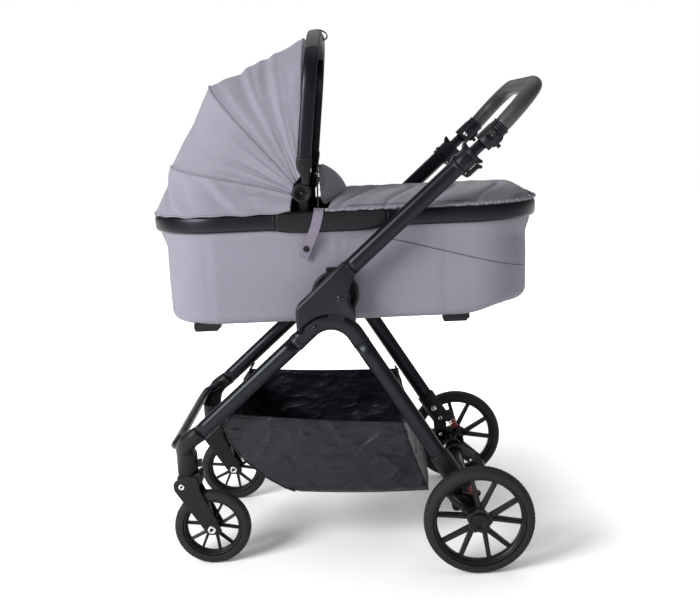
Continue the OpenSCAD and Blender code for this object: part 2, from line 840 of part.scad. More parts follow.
on("left") front_leg();  // front_leg_left
on("right") front_leg();  // front_leg_right
on("left") rear_leg();  // rear_leg_left
on("right") rear_leg();  // rear_leg_right
on("left") side_arch();  // side_arch_left
on("right") side_arch();  // side_arch_right
on("left") front_knee();  // front_knee_left
on("right") front_knee();  // front_knee_right
front_crossbar();
rear_axle_tube();
on("left") rear_housing();  // rear_housing_left
on("right") rear_housing();  // rear_housing_right
basket();
frame_screws();
cot_adapters();
on("left") hinge_block();  // hinge_block_left
on("right") hinge_block();  // hinge_block_right
on("left") push_tube();  // push_tube_left
on("right") push_tube();  // push_tube_right
tube_collars();
on("left") fold_trigger();  // fold_trigger_left
on("right") fold_trigger();  // fold_trigger_right
handle_tube();
handle_sleeves();
handle_grip();
on("left") adjust_button();  // adjust_button_left
on("right") adjust_button();  // adjust_button_right
on("left") caster_fork();  // caster_fork_left
on("right") caster_fork();  // caster_fork_right
on("left") swivel_lock();  // swivel_lock_left
on("right") swivel_lock();  // swivel_lock_right
on("left") front_tyre();  // front_tyre_left
on("right") front_tyre();  // front_tyre_right
on("left") front_rim();  // front_rim_left
on("right") front_rim();  // front_rim_right
on("left") rear_tyre();  // rear_tyre_left
on("right") rear_tyre();  // rear_tyre_right
on("left") rear_rim();  // rear_rim_left
on("right") rear_rim();  // rear_rim_right
on("left") swing_arm();  // swing_arm_left
on("right") swing_arm();  // swing_arm_right
on("left") spring();  // spring_left
on("right") spring();  // spring_right
brake_pedal();
cot_shell();
cot_rim();
hand_holds();
mattress();
cot_feet();
cot_latches();
cot_cover();
wind_flap();
side_straps();
canopy_hubs();
canopy_bow();
rib_upper();
rib_lower();
canopy_top();
canopy_middle();
canopy_lower();
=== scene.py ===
import math
import bpy
import bmesh
from mathutils import Vector, Matrix, noise


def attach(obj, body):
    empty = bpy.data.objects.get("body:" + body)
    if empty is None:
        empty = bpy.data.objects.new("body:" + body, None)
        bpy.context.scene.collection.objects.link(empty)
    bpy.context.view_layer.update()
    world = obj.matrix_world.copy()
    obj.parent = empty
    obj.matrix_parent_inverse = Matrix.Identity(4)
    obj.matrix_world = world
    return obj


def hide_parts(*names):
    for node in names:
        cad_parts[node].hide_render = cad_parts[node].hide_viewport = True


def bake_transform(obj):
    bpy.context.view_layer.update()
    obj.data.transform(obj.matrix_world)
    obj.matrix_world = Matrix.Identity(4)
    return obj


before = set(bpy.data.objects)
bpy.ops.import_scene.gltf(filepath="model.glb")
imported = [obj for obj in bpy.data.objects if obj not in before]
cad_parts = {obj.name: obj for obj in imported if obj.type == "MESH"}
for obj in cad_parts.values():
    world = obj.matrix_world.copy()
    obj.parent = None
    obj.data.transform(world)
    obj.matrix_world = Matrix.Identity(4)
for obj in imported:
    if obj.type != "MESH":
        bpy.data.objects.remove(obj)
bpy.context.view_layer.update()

print("stage: frame loaded")

# Lengths are in millimetres here and become metres when a mesh is made.
sideSign = {"left": -1, "right": 1}


def around(c, angle, reach):
    a = math.radians(angle)
    return (c[0] + reach * math.cos(a), c[1] + reach * math.sin(a))


def angleTo(p, q):
    return math.degrees(math.atan2(q[1] - p[1], q[0] - p[0]))


def arcPoints(c, r, a, b, n):
    return [around(c, a + (b - a) * i / n, r) for i in range(n + 1)]


def mix(a, b, t):
    return a + (b - a) * t


def mixPoint(p, q, t):
    return tuple(mix(a, b, t) for a, b in zip(p, q))


def ease(t):
    t = min(1, max(0, t))
    return t * t * (3 - 2 * t)


# The frame's own lengths, as in the part's source
chassis = {"sideY": 238, "tubeTall": 38, "tubeWide": 32, "arch": (-40, 515), "archR": 66, "pivot": (-14, 636),
           "frontAxle": (-342, 90), "rearAxle": (276, 125), "knee": (-349, 333), "swivelX": -391,
           "swivelZ": 225,
           "frontY": 198, "rearY": 300, "pushSlope": 41, "pushRise": 32, "hub": (-89, 866), "rimZ": 784,
           "rimTop": 822,
           "cotLen": 904, "cotWide": 426, "cotCorner": 165, "cotZ": 570}
arch, archR, knee = chassis["arch"], chassis["archR"], chassis["knee"]
pivot, hub, sideY = chassis["pivot"], chassis["hub"], chassis["sideY"]
rearAxle, frontAxle = chassis["rearAxle"], chassis["frontAxle"]
frontTouch = angleTo(arch, knee) - math.degrees(math.acos(archR / math.dist(knee, arch))) + 360
rearTouch = angleTo(arch, rearAxle) + math.degrees(math.acos(archR / math.dist(rearAxle, arch)))
frontSlope, rearSlope = frontTouch + 90, rearTouch - 90
frontSeam = around(around(arch, frontTouch, archR), frontSlope, 48)
rearSeam = around(around(arch, rearTouch, archR), rearSlope, 25)


def onRear(up, off):
    return around(around(rearAxle, rearSlope + 180, up), rearSlope + 90, off)


def onPush(along, off):
    s = chassis["pushSlope"]
    return around(around(pivot, s + 90, chassis["pushRise"] + off), s, along)


def at(p, y):
    return (p[0], y, p[1])


def makePiece(name, points, faces, finish, uv=None, closed=True, smooth=True):
    mesh = bpy.data.meshes.new(name)
    mesh.from_pydata([tuple(c * 0.001 for c in p) for p in points], [], faces)
    if uv:
        layer = mesh.uv_layers.new(name="weave")
        for loop in mesh.loops:
            layer.data[loop.index].uv = uv[loop.vertex_index]
    if closed:
        bm = bmesh.new()
        bm.from_mesh(mesh)
        bmesh.ops.recalc_face_normals(bm, faces=bm.faces)
        bm.to_mesh(mesh)
        bm.free()
    mesh.polygons.foreach_set("use_smooth", [smooth] * len(mesh.polygons))
    piece = bpy.data.objects.new(name, mesh)
    bpy.context.scene.collection.objects.link(piece)
    mesh.materials.append(finish)
    return piece


def gridFaces(rows, cols, wrap=False, skip=None):
    faces = []
    for i in range(rows - 1):
        for j in range(cols if wrap else cols - 1):
            if skip and skip(i, j):
                continue
            k = (j + 1) % cols
            faces.append((i * cols + j, i * cols + k, (i + 1) * cols + k, (i + 1) * cols + j))
    return faces


def loft(name, rings, finish, caps=(True, True), wrapRings=False, uv=None):
    n = len(rings[0])
    points = [p for ring in rings for p in ring]
    faces = gridFaces(len(rings), n, wrap=True)
    if wrapRings:
        last = (len(rings) - 1) * n
        faces += [(last + j, last + (j + 1) % n, (j + 1) % n, j) for j in range(n)]
    else:
        if caps[0]:
            faces.append(tuple(range(n - 1, -1, -1)))
        if caps[1]:
            faces.append(tuple(range((len(rings) - 1) * n, len(rings) * n)))
    return makePiece(name, points, faces, finish, uv)


def ringsAlong(path, section, across, wrap=False):
    across = Vector(across).normalized()
    rings = []
    count = len(path)
    for i, p in enumerate(path):
        before = path[i - 1] if (i > 0 or wrap) else path[0]
        after = path[(i + 1) % count] if (i < count - 1 or wrap) else path[-1]
        t = (Vector(after) - Vector(before)).normalized()
        n = across.cross(t).normalized()
        b = t.cross(n).normalized()
        cut = section(i / (count - 1)) if callable(section) else section
        rings.append([tuple(Vector(p) + n * u + b * v) for u, v in cut])
    return rings


def sweep(name, path, section, across, finish, wrap=False):
    return loft(name, ringsAlong(path, section, across, wrap), finish, wrapRings=wrap)


def stadium(tall, wide, n=12):
    r = min(tall, wide) / 2
    e = (max(tall, wide) - 2 * r) / 2
    cut = []
    for k, centre in ((0, e), (1, -e)):
        for i in range(n + 1):
            a = math.radians(-90 + 180 * k + 180 * i / n)
            u, v = centre + r * math.cos(a), r * math.sin(a)
            cut.append((u, v) if tall >= wide else (v, u))
    return cut


def blunt(tall, wide, power=4, n=32):  # a rounded rectangle as a superellipse
    cut = []
    for i in range(n):
        a = 2 * math.pi * i / n
        c, s = math.cos(a), math.sin(a)
        cut.append((math.copysign(abs(c) ** (2 / power), c) * tall / 2,
                    math.copysign(abs(s) ** (2 / power), s) * wide / 2))
    return cut


def straight(p, q, n=2):
    return [mixPoint(p, q, i / (n - 1)) for i in range(n)]


def rounded(points, radius, steps=8):  # a line whose corners are turned on the given radius
    out = [tuple(points[0])]
    for a, b, c in zip(points, points[1:], points[2:]):
        u, v = (Vector(a) - Vector(b)), (Vector(c) - Vector(b))
        turn = math.pi - u.angle(v)
        d = min(radius * math.tan(turn / 2), 0.49 * u.length, 0.49 * v.length)
        s, e = Vector(b) + u.normalized() * d, Vector(b) + v.normalized() * d
        for i in range(steps + 1):
            t = i / steps
            out.append(tuple(s * (1 - t) ** 2 + Vector(b) * 2 * t * (1 - t) + e * t * t))
    out.append(tuple(points[-1]))
    return out


def settle(piece):  # turns live modifiers into plain mesh
    graph = bpy.context.evaluated_depsgraph_get()
    mesh = bpy.data.meshes.new_from_object(piece.evaluated_get(graph))
    piece.modifiers.clear()
    old = piece.data
    piece.data = mesh
    mesh.name = piece.name
    bpy.data.meshes.remove(old)
    return piece


def soften(piece, width, segments=2, angle=35):  # rounds the edges of a hard part
    bevel = piece.modifiers.new("edge", "BEVEL")
    bevel.width, bevel.segments = width * 0.001, segments
    bevel.limit_method, bevel.angle_limit = "ANGLE", math.radians(angle)
    bevel.harden_normals = False
    weighted = piece.modifiers.new("shade", "WEIGHTED_NORMAL")
    weighted.keep_sharp = True
    return settle(piece)


def plate(name, outline, y0, y1, finish, edge=1.2, segments=2):
    points = [at(p, y0) for p in outline] + [at(p, y1) for p in outline]
    n = len(outline)
    faces = [tuple(range(n)), tuple(range(2 * n - 1, n - 1, -1))]
    faces += [(i, (i + 1) % n, n + (i + 1) % n, n + i) for i in range(n)]
    return soften(makePiece(name, points, faces, finish), edge, segments)


def lathe(name, profile, c, finish, steps=96, edge=0.0):  # profile of (radius, y), turned about the Y axis
    rings = []
    for r, y in profile:
        rings.append([(c[0] + r * math.cos(2 * math.pi * i / steps), y,
                       c[1] + r * math.sin(2 * math.pi * i / steps))
                      for i in range(steps)])
    piece = loft(name, rings, finish, caps=(False, False), wrapRings=True)
    bm = bmesh.new()
    bm.from_mesh(piece.data)
    bmesh.ops.remove_doubles(bm, verts=bm.verts, dist=1e-6)
    bmesh.ops.recalc_face_normals(bm, faces=bm.faces)
    bm.to_mesh(piece.data)
    bm.free()
    if edge:
        soften(piece, edge, 2, 30)
    return piece


def join(name, pieces):
    bpy.ops.object.select_all(action="DESELECT")
    for p in pieces:
        p.select_set(True)
    bpy.context.view_layer.objects.active = pieces[0]
    bpy.ops.object.join()
    pieces[0].name = name
    pieces[0].data.name = name
    return pieces[0]


def place(piece, body, slotName, *nodes):
    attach(piece, body)
    if nodes:
        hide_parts(*nodes)
    return piece


def mirrored(name, piece):  # the same piece on the other side of the stroller
    mesh = piece.data.copy()
    mesh.transform(Matrix.Diagonal((1, -1, 1, 1)))
    mesh.flip_normals()
    mesh.name = name
    twin = bpy.data.objects.new(name, mesh)
    bpy.context.scene.collection.objects.link(twin)
    return twin


def pair(make, body, slotName, *nodes):  # makes the right-hand piece, and its twin on the left
    piece = make()
    twin = mirrored(piece.name + "Left", piece)
    piece.name += "Right"
    for part, word in ((piece, "right"), (twin, "left")):
        place(part, body.replace("SIDE", word), slotName, *[n.replace("SIDE", word) for n in nodes])
    return piece, twin


class Wire:  # one output of a node, with arithmetic
    def __init__(self, tree, socket):
        self.tree, self.socket = tree, socket

    def maths(self, operation, *values):
        return self.tree.add("ShaderNodeMath", {"operation": operation}, dict(enumerate(values)))

    def __add__(self, other):
        return self.maths("ADD", self, other)

    def __radd__(self, other):
        return self.maths("ADD", other, self)

    def __sub__(self, other):
        return self.maths("SUBTRACT", self, other)

    def __rsub__(self, other):
        return self.maths("SUBTRACT", other, self)

    def __mul__(self, other):
        return self.maths("MULTIPLY", self, other)

    def __rmul__(self, other):
        return self.maths("MULTIPLY", other, self)

    def __truediv__(self, other):
        return self.maths("DIVIDE", self, other)

    def __pow__(self, other):
        return self.maths("POWER", self, other)

    def sin(self):
        return self.maths("SINE", self)

    def abs(self):
        return self.maths("ABSOLUTE", self)

    def above(self, edge, soft):
        return self.tree.add("ShaderNodeMapRange", {"clamp": True},
                             {"Value": self, "From Min": edge - soft, "From Max": edge + soft})


class Tree:
    def __init__(self, nodes):
        self.nodes = nodes

    def add(self, kind, settings=None, values=None, output=0):
        node = self.nodes.nodes.new(kind)
        for key, value in (settings or {}).items():
            if key == "stops":
                for i, (place_, colour) in enumerate(value):
                    stop = node.color_ramp.elements[i] if i < 2 else node.color_ramp.elements.new(place_)
                    stop.position, stop.color = place_, colour
            else:
                setattr(node, key, value)
        for key, value in (values or {}).items():
            socket = node.inputs[key]
            if isinstance(value, Wire):
                self.nodes.links.new(value.socket, socket)
            else:
                socket.default_value = value
        return Wire(self, node.outputs[output])

    def split(self, vector):
        node = self.add("ShaderNodeSeparateXYZ", None, {0: vector}).socket.node
        return [Wire(self, o) for o in node.outputs]

    def blend(self, factor, a, b):
        node = self.nodes.nodes.new("ShaderNodeMix")
        node.data_type = "RGBA"
        for index, value in ((0, factor), (6, a), (7, b)):
            if isinstance(value, Wire):
                self.nodes.links.new(value.socket, node.inputs[index])
            else:
                node.inputs[index].default_value = value
        return Wire(self, node.outputs[2])


class Finish(Tree):
    def __init__(self, name, **fixed):
        self.material = bpy.data.materials.new(name)
        self.material.use_nodes = True
        super().__init__(self.material.node_tree)
        self.shader = self.nodes.nodes["Principled BSDF"]
        self.coords = self.add("ShaderNodeTexCoord", None, None, 3)
        for key, value in fixed.items():
            self.shader.inputs[key.replace("_", " ")].default_value = value

    def uv(self):
        return self.add("ShaderNodeUVMap", {"uv_map": "weave"})

    def noise(self, scale, detail=3.0, rough=0.55, vector=None):
        return self.add("ShaderNodeTexNoise", None, {"Vector": vector or self.coords, "Scale": scale,
                                                     "Detail": detail,
                                                     "Roughness": rough})

    def feed(self, **links):
        for key, value in links.items():
            self.nodes.links.new(value.socket, self.shader.inputs[key.replace("_", " ")])

    def bump(self, height, strength, distance, shadowCordLine=None):
        values = {"Height": height, "Strength": strength, "Distance": distance}
        if shadowCordLine:
            values["Normal"] = shadowCordLine
        return self.add("ShaderNodeBump", None, values)


def grey(r, g, b):  # from a screen colour of 0 to 255
    return tuple(((c / 255) / 12.92 if c / 255 < 0.04045 else ((c / 255 + 0.055) / 1.055) ** 2.4)
                 for c in (r, g, b)) + (1.0,)


def hardFinish(name, dark, light, roughLow, roughHigh, grain, depth, **fixed):
    f = Finish(name, **fixed)
    cloud = f.noise(9.0, 4.0)
    fine = f.noise(grain, 2.0, 0.7)
    rubbed = f.noise(60.0, 5.0, 0.65)
    f.feed(Base_Color=f.blend(cloud * 0.7 + rubbed * 0.3, dark, light),
           Roughness=roughLow + (roughHigh - roughLow) * (cloud * 0.6 + rubbed * 0.4),
           Normal=f.bump(fine, 0.35, depth))
    return f.material


def fabricFinish(name, dark, light, pitch, useUv, contrast=0.55, crease=1.0, **fixed):
    f = Finish(name, Roughness=0.86, Sheen_Weight=0.1, Sheen_Roughness=0.5, Specular_IOR_Level=0.2, **fixed)
    x, y, z = f.split(f.uv() if useUv else f.coords)
    along = x if useUv else x + y * 0.6
    up = y if useUv else z + y * 0.45
    turn = 2 * math.pi / pitch
    twill = ((along + up) * turn).sin() * 0.5 + 0.5
    yarn = ((along - up * 0.35) * (turn * 1.7)).sin() * 0.5 + 0.5
    weave = twill * 0.7 + yarn * 0.3
    slub = f.noise(420.0, 2.0, 0.6)
    cloud = f.noise(7.0, 3.0)
    drift = ((along * 0.55 - up) * (turn * 0.31) + f.noise(5.0, 1.0) * 9.0).sin() * 0.5 + 0.5
    cool = tuple(c * k for c, k in zip(light[:3], (0.93, 0.98, 1.16))) + (1.0,)
    warm = tuple(c * k for c, k in zip(light[:3], (1.08, 1.0, 0.92))) + (1.0,)
    lit = f.blend(drift, warm, cool)
    tone = f.blend(weave * contrast + slub * 0.25 + cloud * 0.2, dark, lit)
    small = f.bump(weave * 0.8 + slub * 0.2, 0.5, 0.0004)
    soft = f.bump(f.noise(26.0, 3.0, 0.5) * 0.6 + f.noise(70.0, 2.0) * 0.25, 0.35 * crease, 0.004, small)
    f.feed(Base_Color=tone, Roughness=0.8 + 0.14 * slub, Normal=soft)
    return f.material


finishes = {
    "tube": hardFinish("anodised tube", (0.010, 0.011, 0.014, 1), (0.018, 0.019, 0.025, 1), 0.30, 0.38, 1400,
                       0.00004, Metallic=0.85),
    "casting": hardFinish("frame casting", (0.009, 0.010, 0.013, 1), (0.017, 0.018, 0.024, 1), 0.38, 0.48,
                          1100, 0.00008, Metallic=0.75),
    "plastic": hardFinish("black plastic", (0.003, 0.003, 0.004, 1), (0.007, 0.007, 0.009, 1), 0.38, 0.52,
                          900, 0.00010,
                          Specular_IOR_Level=0.2),
    "wheel": hardFinish("wheel plastic", (0.004, 0.004, 0.005, 1), (0.009, 0.009, 0.010, 1), 0.34, 0.46, 800,
                        0.00008,
                        Specular_IOR_Level=0.26),
    "tyre": hardFinish("tyre rubber", (0.010, 0.010, 0.012, 1), (0.019, 0.019, 0.022, 1), 0.6, 0.78, 500,
                       0.0002, Specular_IOR_Level=0.2),
    "steel": hardFinish("screw steel", (0.55, 0.55, 0.57, 1), (0.75, 0.75, 0.77, 1), 0.18, 0.32, 900, 0.00003,
                        Metallic=1.0),
    "darkSteel": hardFinish("black screw", (0.01, 0.01, 0.012, 1), (0.03, 0.03, 0.033, 1), 0.16, 0.26, 900,
                            0.00003, Metallic=0.8),
    "red": hardFinish("red spring", (0.32, 0.006, 0.008, 1), (0.5, 0.012, 0.014, 1), 0.25, 0.4, 700, 0.00005,
                      Coat_Weight=0.5, Coat_Roughness=0.2),
    "thread": hardFinish("dark thread", (0.02, 0.02, 0.024, 1), (0.05, 0.05, 0.056, 1), 0.7, 0.9, 2500,
                         0.0002, Specular_IOR_Level=0.2),
}


def leatherFinish():
    f = Finish("grip leather", Roughness=0.5, Coat_Weight=0.12, Coat_Roughness=0.45)
    cells = f.add("ShaderNodeTexVoronoi", {"feature": "DISTANCE_TO_EDGE"},
                  {"Vector": f.coords, "Scale": 620.0})
    pores = f.noise(900.0, 2.0, 0.6)
    cloud = f.noise(12.0, 4.0)
    f.feed(Base_Color=f.blend(cloud, (0.010, 0.010, 0.011, 1), (0.024, 0.023, 0.025, 1)),
           Roughness=0.42 + 0.2 * cloud, Normal=f.bump(cells * 0.7 + pores * 0.3, 0.45, 0.0003))
    return f.material


def nylonFinish():
    f = Finish("black nylon", Roughness=0.5, Specular_IOR_Level=0.3)
    x, y, z = f.split(f.coords)
    weave = ((x + y * 0.5) * 5200).sin() * 0.25 + (z * 5200).sin() * 0.25 + 0.5
    slanted = f.add("ShaderNodeCombineXYZ", None, {0: x * 1.0 + z * 0.5, 1: y, 2: z * 1.9 - x * 0.5})
    big = f.noise(6.0, 2.0, 0.45, slanted)
    sharp = f.noise(13.0, 2.5, 0.45, slanted)
    crumple = (1.0 - (big * 2.0 - 1.0).abs()) ** 5.0
    ridge = (1.0 - (sharp * 2.0 - 1.0).abs()) ** 5.0
    cloud = f.noise(4.0, 3.0)
    fine = f.bump(weave, 0.25, 0.0002)
    folds = f.bump(crumple * 0.8 + ridge * 0.35, 0.55, 0.010, fine)
    # base colour: random cloud tone, plus a painted sheen that makes the fold crests (ridge) lighter
    f.feed(Base_Color=f.blend(cloud * 0.7 + ridge * 0.3, (0.003, 0.0035, 0.0065, 1),
                              (0.009, 0.010, 0.017, 1)),
           Roughness=0.36 + 0.2 * cloud, Normal=folds)
    return f.material


finishes["leather"] = leatherFinish()
finishes["nylon"] = nylonFinish()
finishes["fabric"] = fabricFinish("grey fabric", grey(74, 73, 80), grey(147, 145, 156), 0.0034, True)
finishes["quilt"] = fabricFinish("quilted fabric", grey(76, 74, 81), grey(140, 137, 146), 0.0036, False)
finishes["liner"] = fabricFinish("liner fabric", grey(44, 43, 48), grey(84, 82, 89), 0.0030, False)
finishes["pale"] = fabricFinish("mattress fabric", grey(150, 148, 152), grey(200, 198, 202), 0.0040, False,
                                0.3)
finishes["tape"] = fabricFinish("strap webbing", grey(70, 67, 75), grey(124, 119, 132), 0.0022, False, 0.7,
                                0.4)
print("stage: finishes made")


def geometryTree(name, inputs):
    group = bpy.data.node_groups.new(name, "GeometryNodeTree")
    group.interface.new_socket("Geometry", in_out="INPUT", socket_type="NodeSocketGeometry")
    for label, kind in inputs:
        group.interface.new_socket(label, in_out="INPUT", socket_type="NodeSocket" + kind)
    group.interface.new_socket("Geometry", in_out="OUTPUT", socket_type="NodeSocketGeometry")
    tree = Tree(group)
    entry = group.nodes.new("NodeGroupInput")
    wires = {o.name: Wire(tree, o) for o in entry.outputs if o.name}
    return group, tree, wires


def finishTree(group, tree, geometry, finish):
    real = tree.add("GeometryNodeRealizeInstances", None, {0: geometry})
    painted = tree.add("GeometryNodeSetMaterial", None, {"Geometry": real, "Material": finish})
    out = group.nodes.new("NodeGroupOutput")
    group.links.new(painted.socket, out.inputs[0])


def makeRingTree():  # copies of a template round the Y axis through a centre
    group, tree, given = geometryTree("repeat round an axle", [
        ("Template", "Object"), ("Count", "Int"), ("Centre", "Vector"), ("Start Angle", "Float"),
        ("Finish", "Material")])
    template = tree.add("GeometryNodeObjectInfo", None, {"Object": given["Template"]}, 4)
    line = tree.add("GeometryNodeMeshLine", None, {"Count": given["Count"], "Start Location": given["Centre"],
                                                   "Offset": (0.0, 0.0, 0.0)})
    index = tree.add("GeometryNodeInputIndex")
    turn = given["Start Angle"] + index * (2 * math.pi) / given["Count"]
    spin = tree.add("ShaderNodeCombineXYZ", None, {1: turn})
    copies = tree.add("GeometryNodeInstanceOnPoints", None, {"Points": line, "Instance": template,
                                                             "Rotation": spin})
    finishTree(group, tree, copies, given["Finish"])
    return group


def makePathTree():  # copies of a template at even steps along the edges of a guide
    group, tree, given = geometryTree("repeat along a line", [
        ("Template", "Object"), ("Spacing", "Float"), ("Size", "Float"), ("Finish", "Material")])
    template = tree.add("GeometryNodeObjectInfo", None, {"Object": given["Template"]}, 4)
    curve = tree.add("GeometryNodeMeshToCurve", None, {0: given["Geometry"]})
    points = tree.add("GeometryNodeCurveToPoints", {"mode": "LENGTH"},
                      {"Curve": curve, "Length": given["Spacing"]})
    turned = Wire(tree, points.socket.node.outputs["Rotation"])
    size = tree.add("ShaderNodeCombineXYZ", None, {0: given["Size"], 1: given["Size"], 2: given["Size"]})
    copies = tree.add("GeometryNodeInstanceOnPoints", None, {"Points": points, "Instance": template,
                                                             "Rotation": turned,
                                                             "Scale": size})
    finishTree(group, tree, copies, given["Finish"])
    return group


def makeCoilTree():  # a round wire wound on a cylinder, standing on the origin
    group, tree, given = geometryTree("coil spring", [
        ("Turns", "Float"), ("Radius", "Float"), ("Height", "Float"), ("Wire", "Float"),
        ("Finish", "Material")])
    spiral = tree.add("GeometryNodeCurveSpiral", None, {"Resolution": 24, "Rotations": given["Turns"],
                      "Start Radius": given["Radius"], "End Radius": given["Radius"],
                      "Height": given["Height"]})
    round_ = tree.add("GeometryNodeCurvePrimitiveCircle", None, {"Resolution": 8, "Radius": given["Wire"]})
    solid = tree.add("GeometryNodeCurveToMesh", None, {"Curve": spiral, "Profile Curve": round_,
                                                       "Fill Caps": True})
    finishTree(group, tree, solid, given["Finish"])
    return group


trees = {"ring": makeRingTree(), "path": makePathTree(), "coil": makeCoilTree()}


def grow(name, kind, settings, guide=None):  # runs a tree and keeps its result as a plain mesh
    carrier = guide or makePiece(name, [(0, 0, 0)], [], finishes["steel"], closed=False)
    modifier = carrier.modifiers.new("grow", "NODES")
    modifier.node_group = trees[kind]
    sockets = {s.name: s.identifier for s in trees[kind].interface.items_tree if s.in_out == "INPUT"}
    for label, value in settings.items():
        modifier[sockets[label]] = value
    graph = bpy.context.evaluated_depsgraph_get()
    mesh = bpy.data.meshes.new_from_object(carrier.evaluated_get(graph))
    bpy.data.objects.remove(carrier)
    mesh.name = name
    piece = bpy.data.objects.new(name, mesh)
    bpy.context.scene.collection.objects.link(piece)
    return piece


def guideLine(name, path):
    edges = [(i, i + 1) for i in range(len(path) - 1)]
    mesh = bpy.data.meshes.new(name)
    mesh.from_pydata([tuple(c * 0.001 for c in p) for p in path], edges, [])
    piece = bpy.data.objects.new(name, mesh)
    bpy.context.scene.collection.objects.link(piece)
    return piece


def template(piece):
    piece.hide_render = True
    return piece


def drop(*pieces):
    for p in pieces:
        bpy.data.objects.remove(p)


def stitchTemplate(length, thick, name="stitch"):  # one flat oval stitch lying along its Z axis
    rings = []
    for k in range(5):
        t = k / 4
        r = thick * (0.35 + 0.65 * math.sin(math.pi * min(0.95, max(0.05, t))))
        rings.append([(r * math.cos(a * math.pi / 3), r * 0.8 * math.sin(a * math.pi / 3), (t - 0.5) * length)
                      for a in range(6)])
    return template(loft(name, rings, finishes["thread"]))


def stitches(name, path, spacing, body, slotName, finish="thread", length=2.6, thick=0.45):
    stitch = stitchTemplate(length, thick)
    row = grow(name, "path", {"Template": stitch, "Spacing": spacing * 0.001, "Size": 1.0,
                              "Finish": finishes[finish]},
               guideLine(name + "Guide", path))
    drop(stitch)
    return place(row, body, slotName)


print("stage: trees made")


view = {"place": (0.0542, -2.3823, 1.0358), "yaw": -1.256, "pitch": 10.781, "roll": -2.67, "lens": 50.59}


def makeCamera():
    yaw, pitch, roll = (math.radians(view[k]) for k in ("yaw", "pitch", "roll"))
    ahead = Vector((math.sin(yaw) * math.cos(pitch), math.cos(yaw) * math.cos(pitch), -math.sin(pitch)))
    right = Vector((math.cos(yaw), -math.sin(yaw), 0))
    up = right.cross(ahead)
    r = math.cos(roll) * right + math.sin(roll) * up
    u = -math.sin(roll) * right + math.cos(roll) * up
    camera = bpy.data.objects.new("camera", bpy.data.cameras.new("camera"))
    camera.data.lens, camera.data.sensor_width = view["lens"], 36.0
    turn = Matrix((r, u, -ahead)).transposed().to_4x4()
    camera.matrix_world = Matrix.Translation(view["place"]) @ turn
    bpy.context.scene.collection.objects.link(camera)
    bpy.context.scene.camera = camera


studio = {"key": 150.0, "top": 34.0, "rim": 12.0, "world": 0.30, "backdrop": 1.0, "floor": 0.97}


def areaLight(name, place_, target, size, power, colour=(1, 1, 1)):
    lamp = bpy.data.lights.new(name, "AREA")
    lamp.shape, lamp.size, lamp.size_y = "RECTANGLE", size[0], size[1]
    lamp.energy, lamp.color = power, colour
    obj = bpy.data.objects.new(name, lamp)
    obj.location = place_
    obj.rotation_euler = (Vector(target) - Vector(place_)).to_track_quat("-Z", "Y").to_euler()
    bpy.context.scene.collection.objects.link(obj)


def makeStudio():
    areaLight("keyLight", (-2.3, -2.2, 2.0), (-0.1, 0, 0.6), (1.5, 1.5), studio["key"], (1.0, 0.995, 0.99))
    areaLight("topLight", (0.5, 0.7, 3.2), (0.1, 0, 0), (3.2, 3.2), studio["top"])
    areaLight("rimLight", (-1.6, 2.6, 2.4), (0, 0, 0.6), (2.4, 1.6), studio["rim"])
    world = bpy.data.worlds.new("studio")
    world.use_nodes = True
    tree = Tree(world.node_tree)
    output = world.node_tree.nodes["World Output"]
    seen = tree.add("ShaderNodeLightPath", None, None, "Is Camera Ray")
    light = tree.add("ShaderNodeBackground", None, {"Strength": studio["world"], "Color": (1, 1, 1, 1)})
    shown = tree.add("ShaderNodeBackground", None, {"Strength": studio["backdrop"], "Color": (1, 1, 1, 1)})
    both = tree.add("ShaderNodeMixShader", None, {0: seen, 1: light, 2: shown})
    world.node_tree.links.new(both.socket, output.inputs["Surface"])
    bpy.context.scene.world = world
    f = Finish("floor", Roughness=0.9, Emission_Strength=1.0, Specular_IOR_Level=0.0)
    x, y, z = f.split(f.coords)
    away = (x * x + (y + 0.1) * (y + 0.1)) ** 0.5
    glow = f.add("ShaderNodeMapRange", {"interpolation_type": "SMOOTHSTEP"},
                 {"Value": away, "From Min": 0.35, "From Max": 1.5,
                                                                              "To Min": 0.10, "To Max": 1.0})
    f.feed(Base_Color=f.blend(f.noise(1.5), (studio["floor"],) * 3 + (1,),
                              (studio["floor"] + 0.01,) * 3 + (1,)),
           Emission_Color=f.blend(glow, (0, 0, 0, 1), (1, 1, 1, 1)))
    floor = makePiece("floor", [(-9000, -7000, 0), (9000, -7000, 0), (9000, 9000, 0), (-9000, 9000, 0)],
                      [(0, 1, 2, 3)],
                      f.material, closed=False, smooth=False)
    bpy.context.scene.view_settings.view_transform = "Standard"
    bpy.context.scene.view_settings.look = "None"


makeCamera()
makeStudio()
print("stage: camera and studio made")


legSizes = {"archWide": 29, "archTall": 39, "ring": 0.7, "screw": 6.6}


def domeScrew(name, p, y, r, finish="darkSteel"):  # a low dome with a round recess, facing +Y
    rings = [(r * 1.12, y - 0.6), (r * 1.12, y), (r, y + 0.2)]
    rings += [(r * math.cos(math.radians(15 * k)), y + 0.2 + r * 0.45 * math.sin(math.radians(15 * k)))
              for k in range(1, 5)]
    rings += [(r * 0.36, y + 0.2 + r * 0.45), (r * 0.33, y + r * 0.2), (0.001, y + r * 0.2), (0.001, y - 0.6)]
    return lathe(name, rings, p, finishes[finish], 32)


def faceWay(screw, way, y):  # turned to face the way of +Y (1) or -Y (-1), then moved out to y
    screw.data.transform(Matrix.Diagonal((1, way, 1, 1)))
    if way < 0:
        screw.data.flip_normals()
    screw.data.transform(Matrix.Translation((0, y * 0.001, 0)))
    return screw


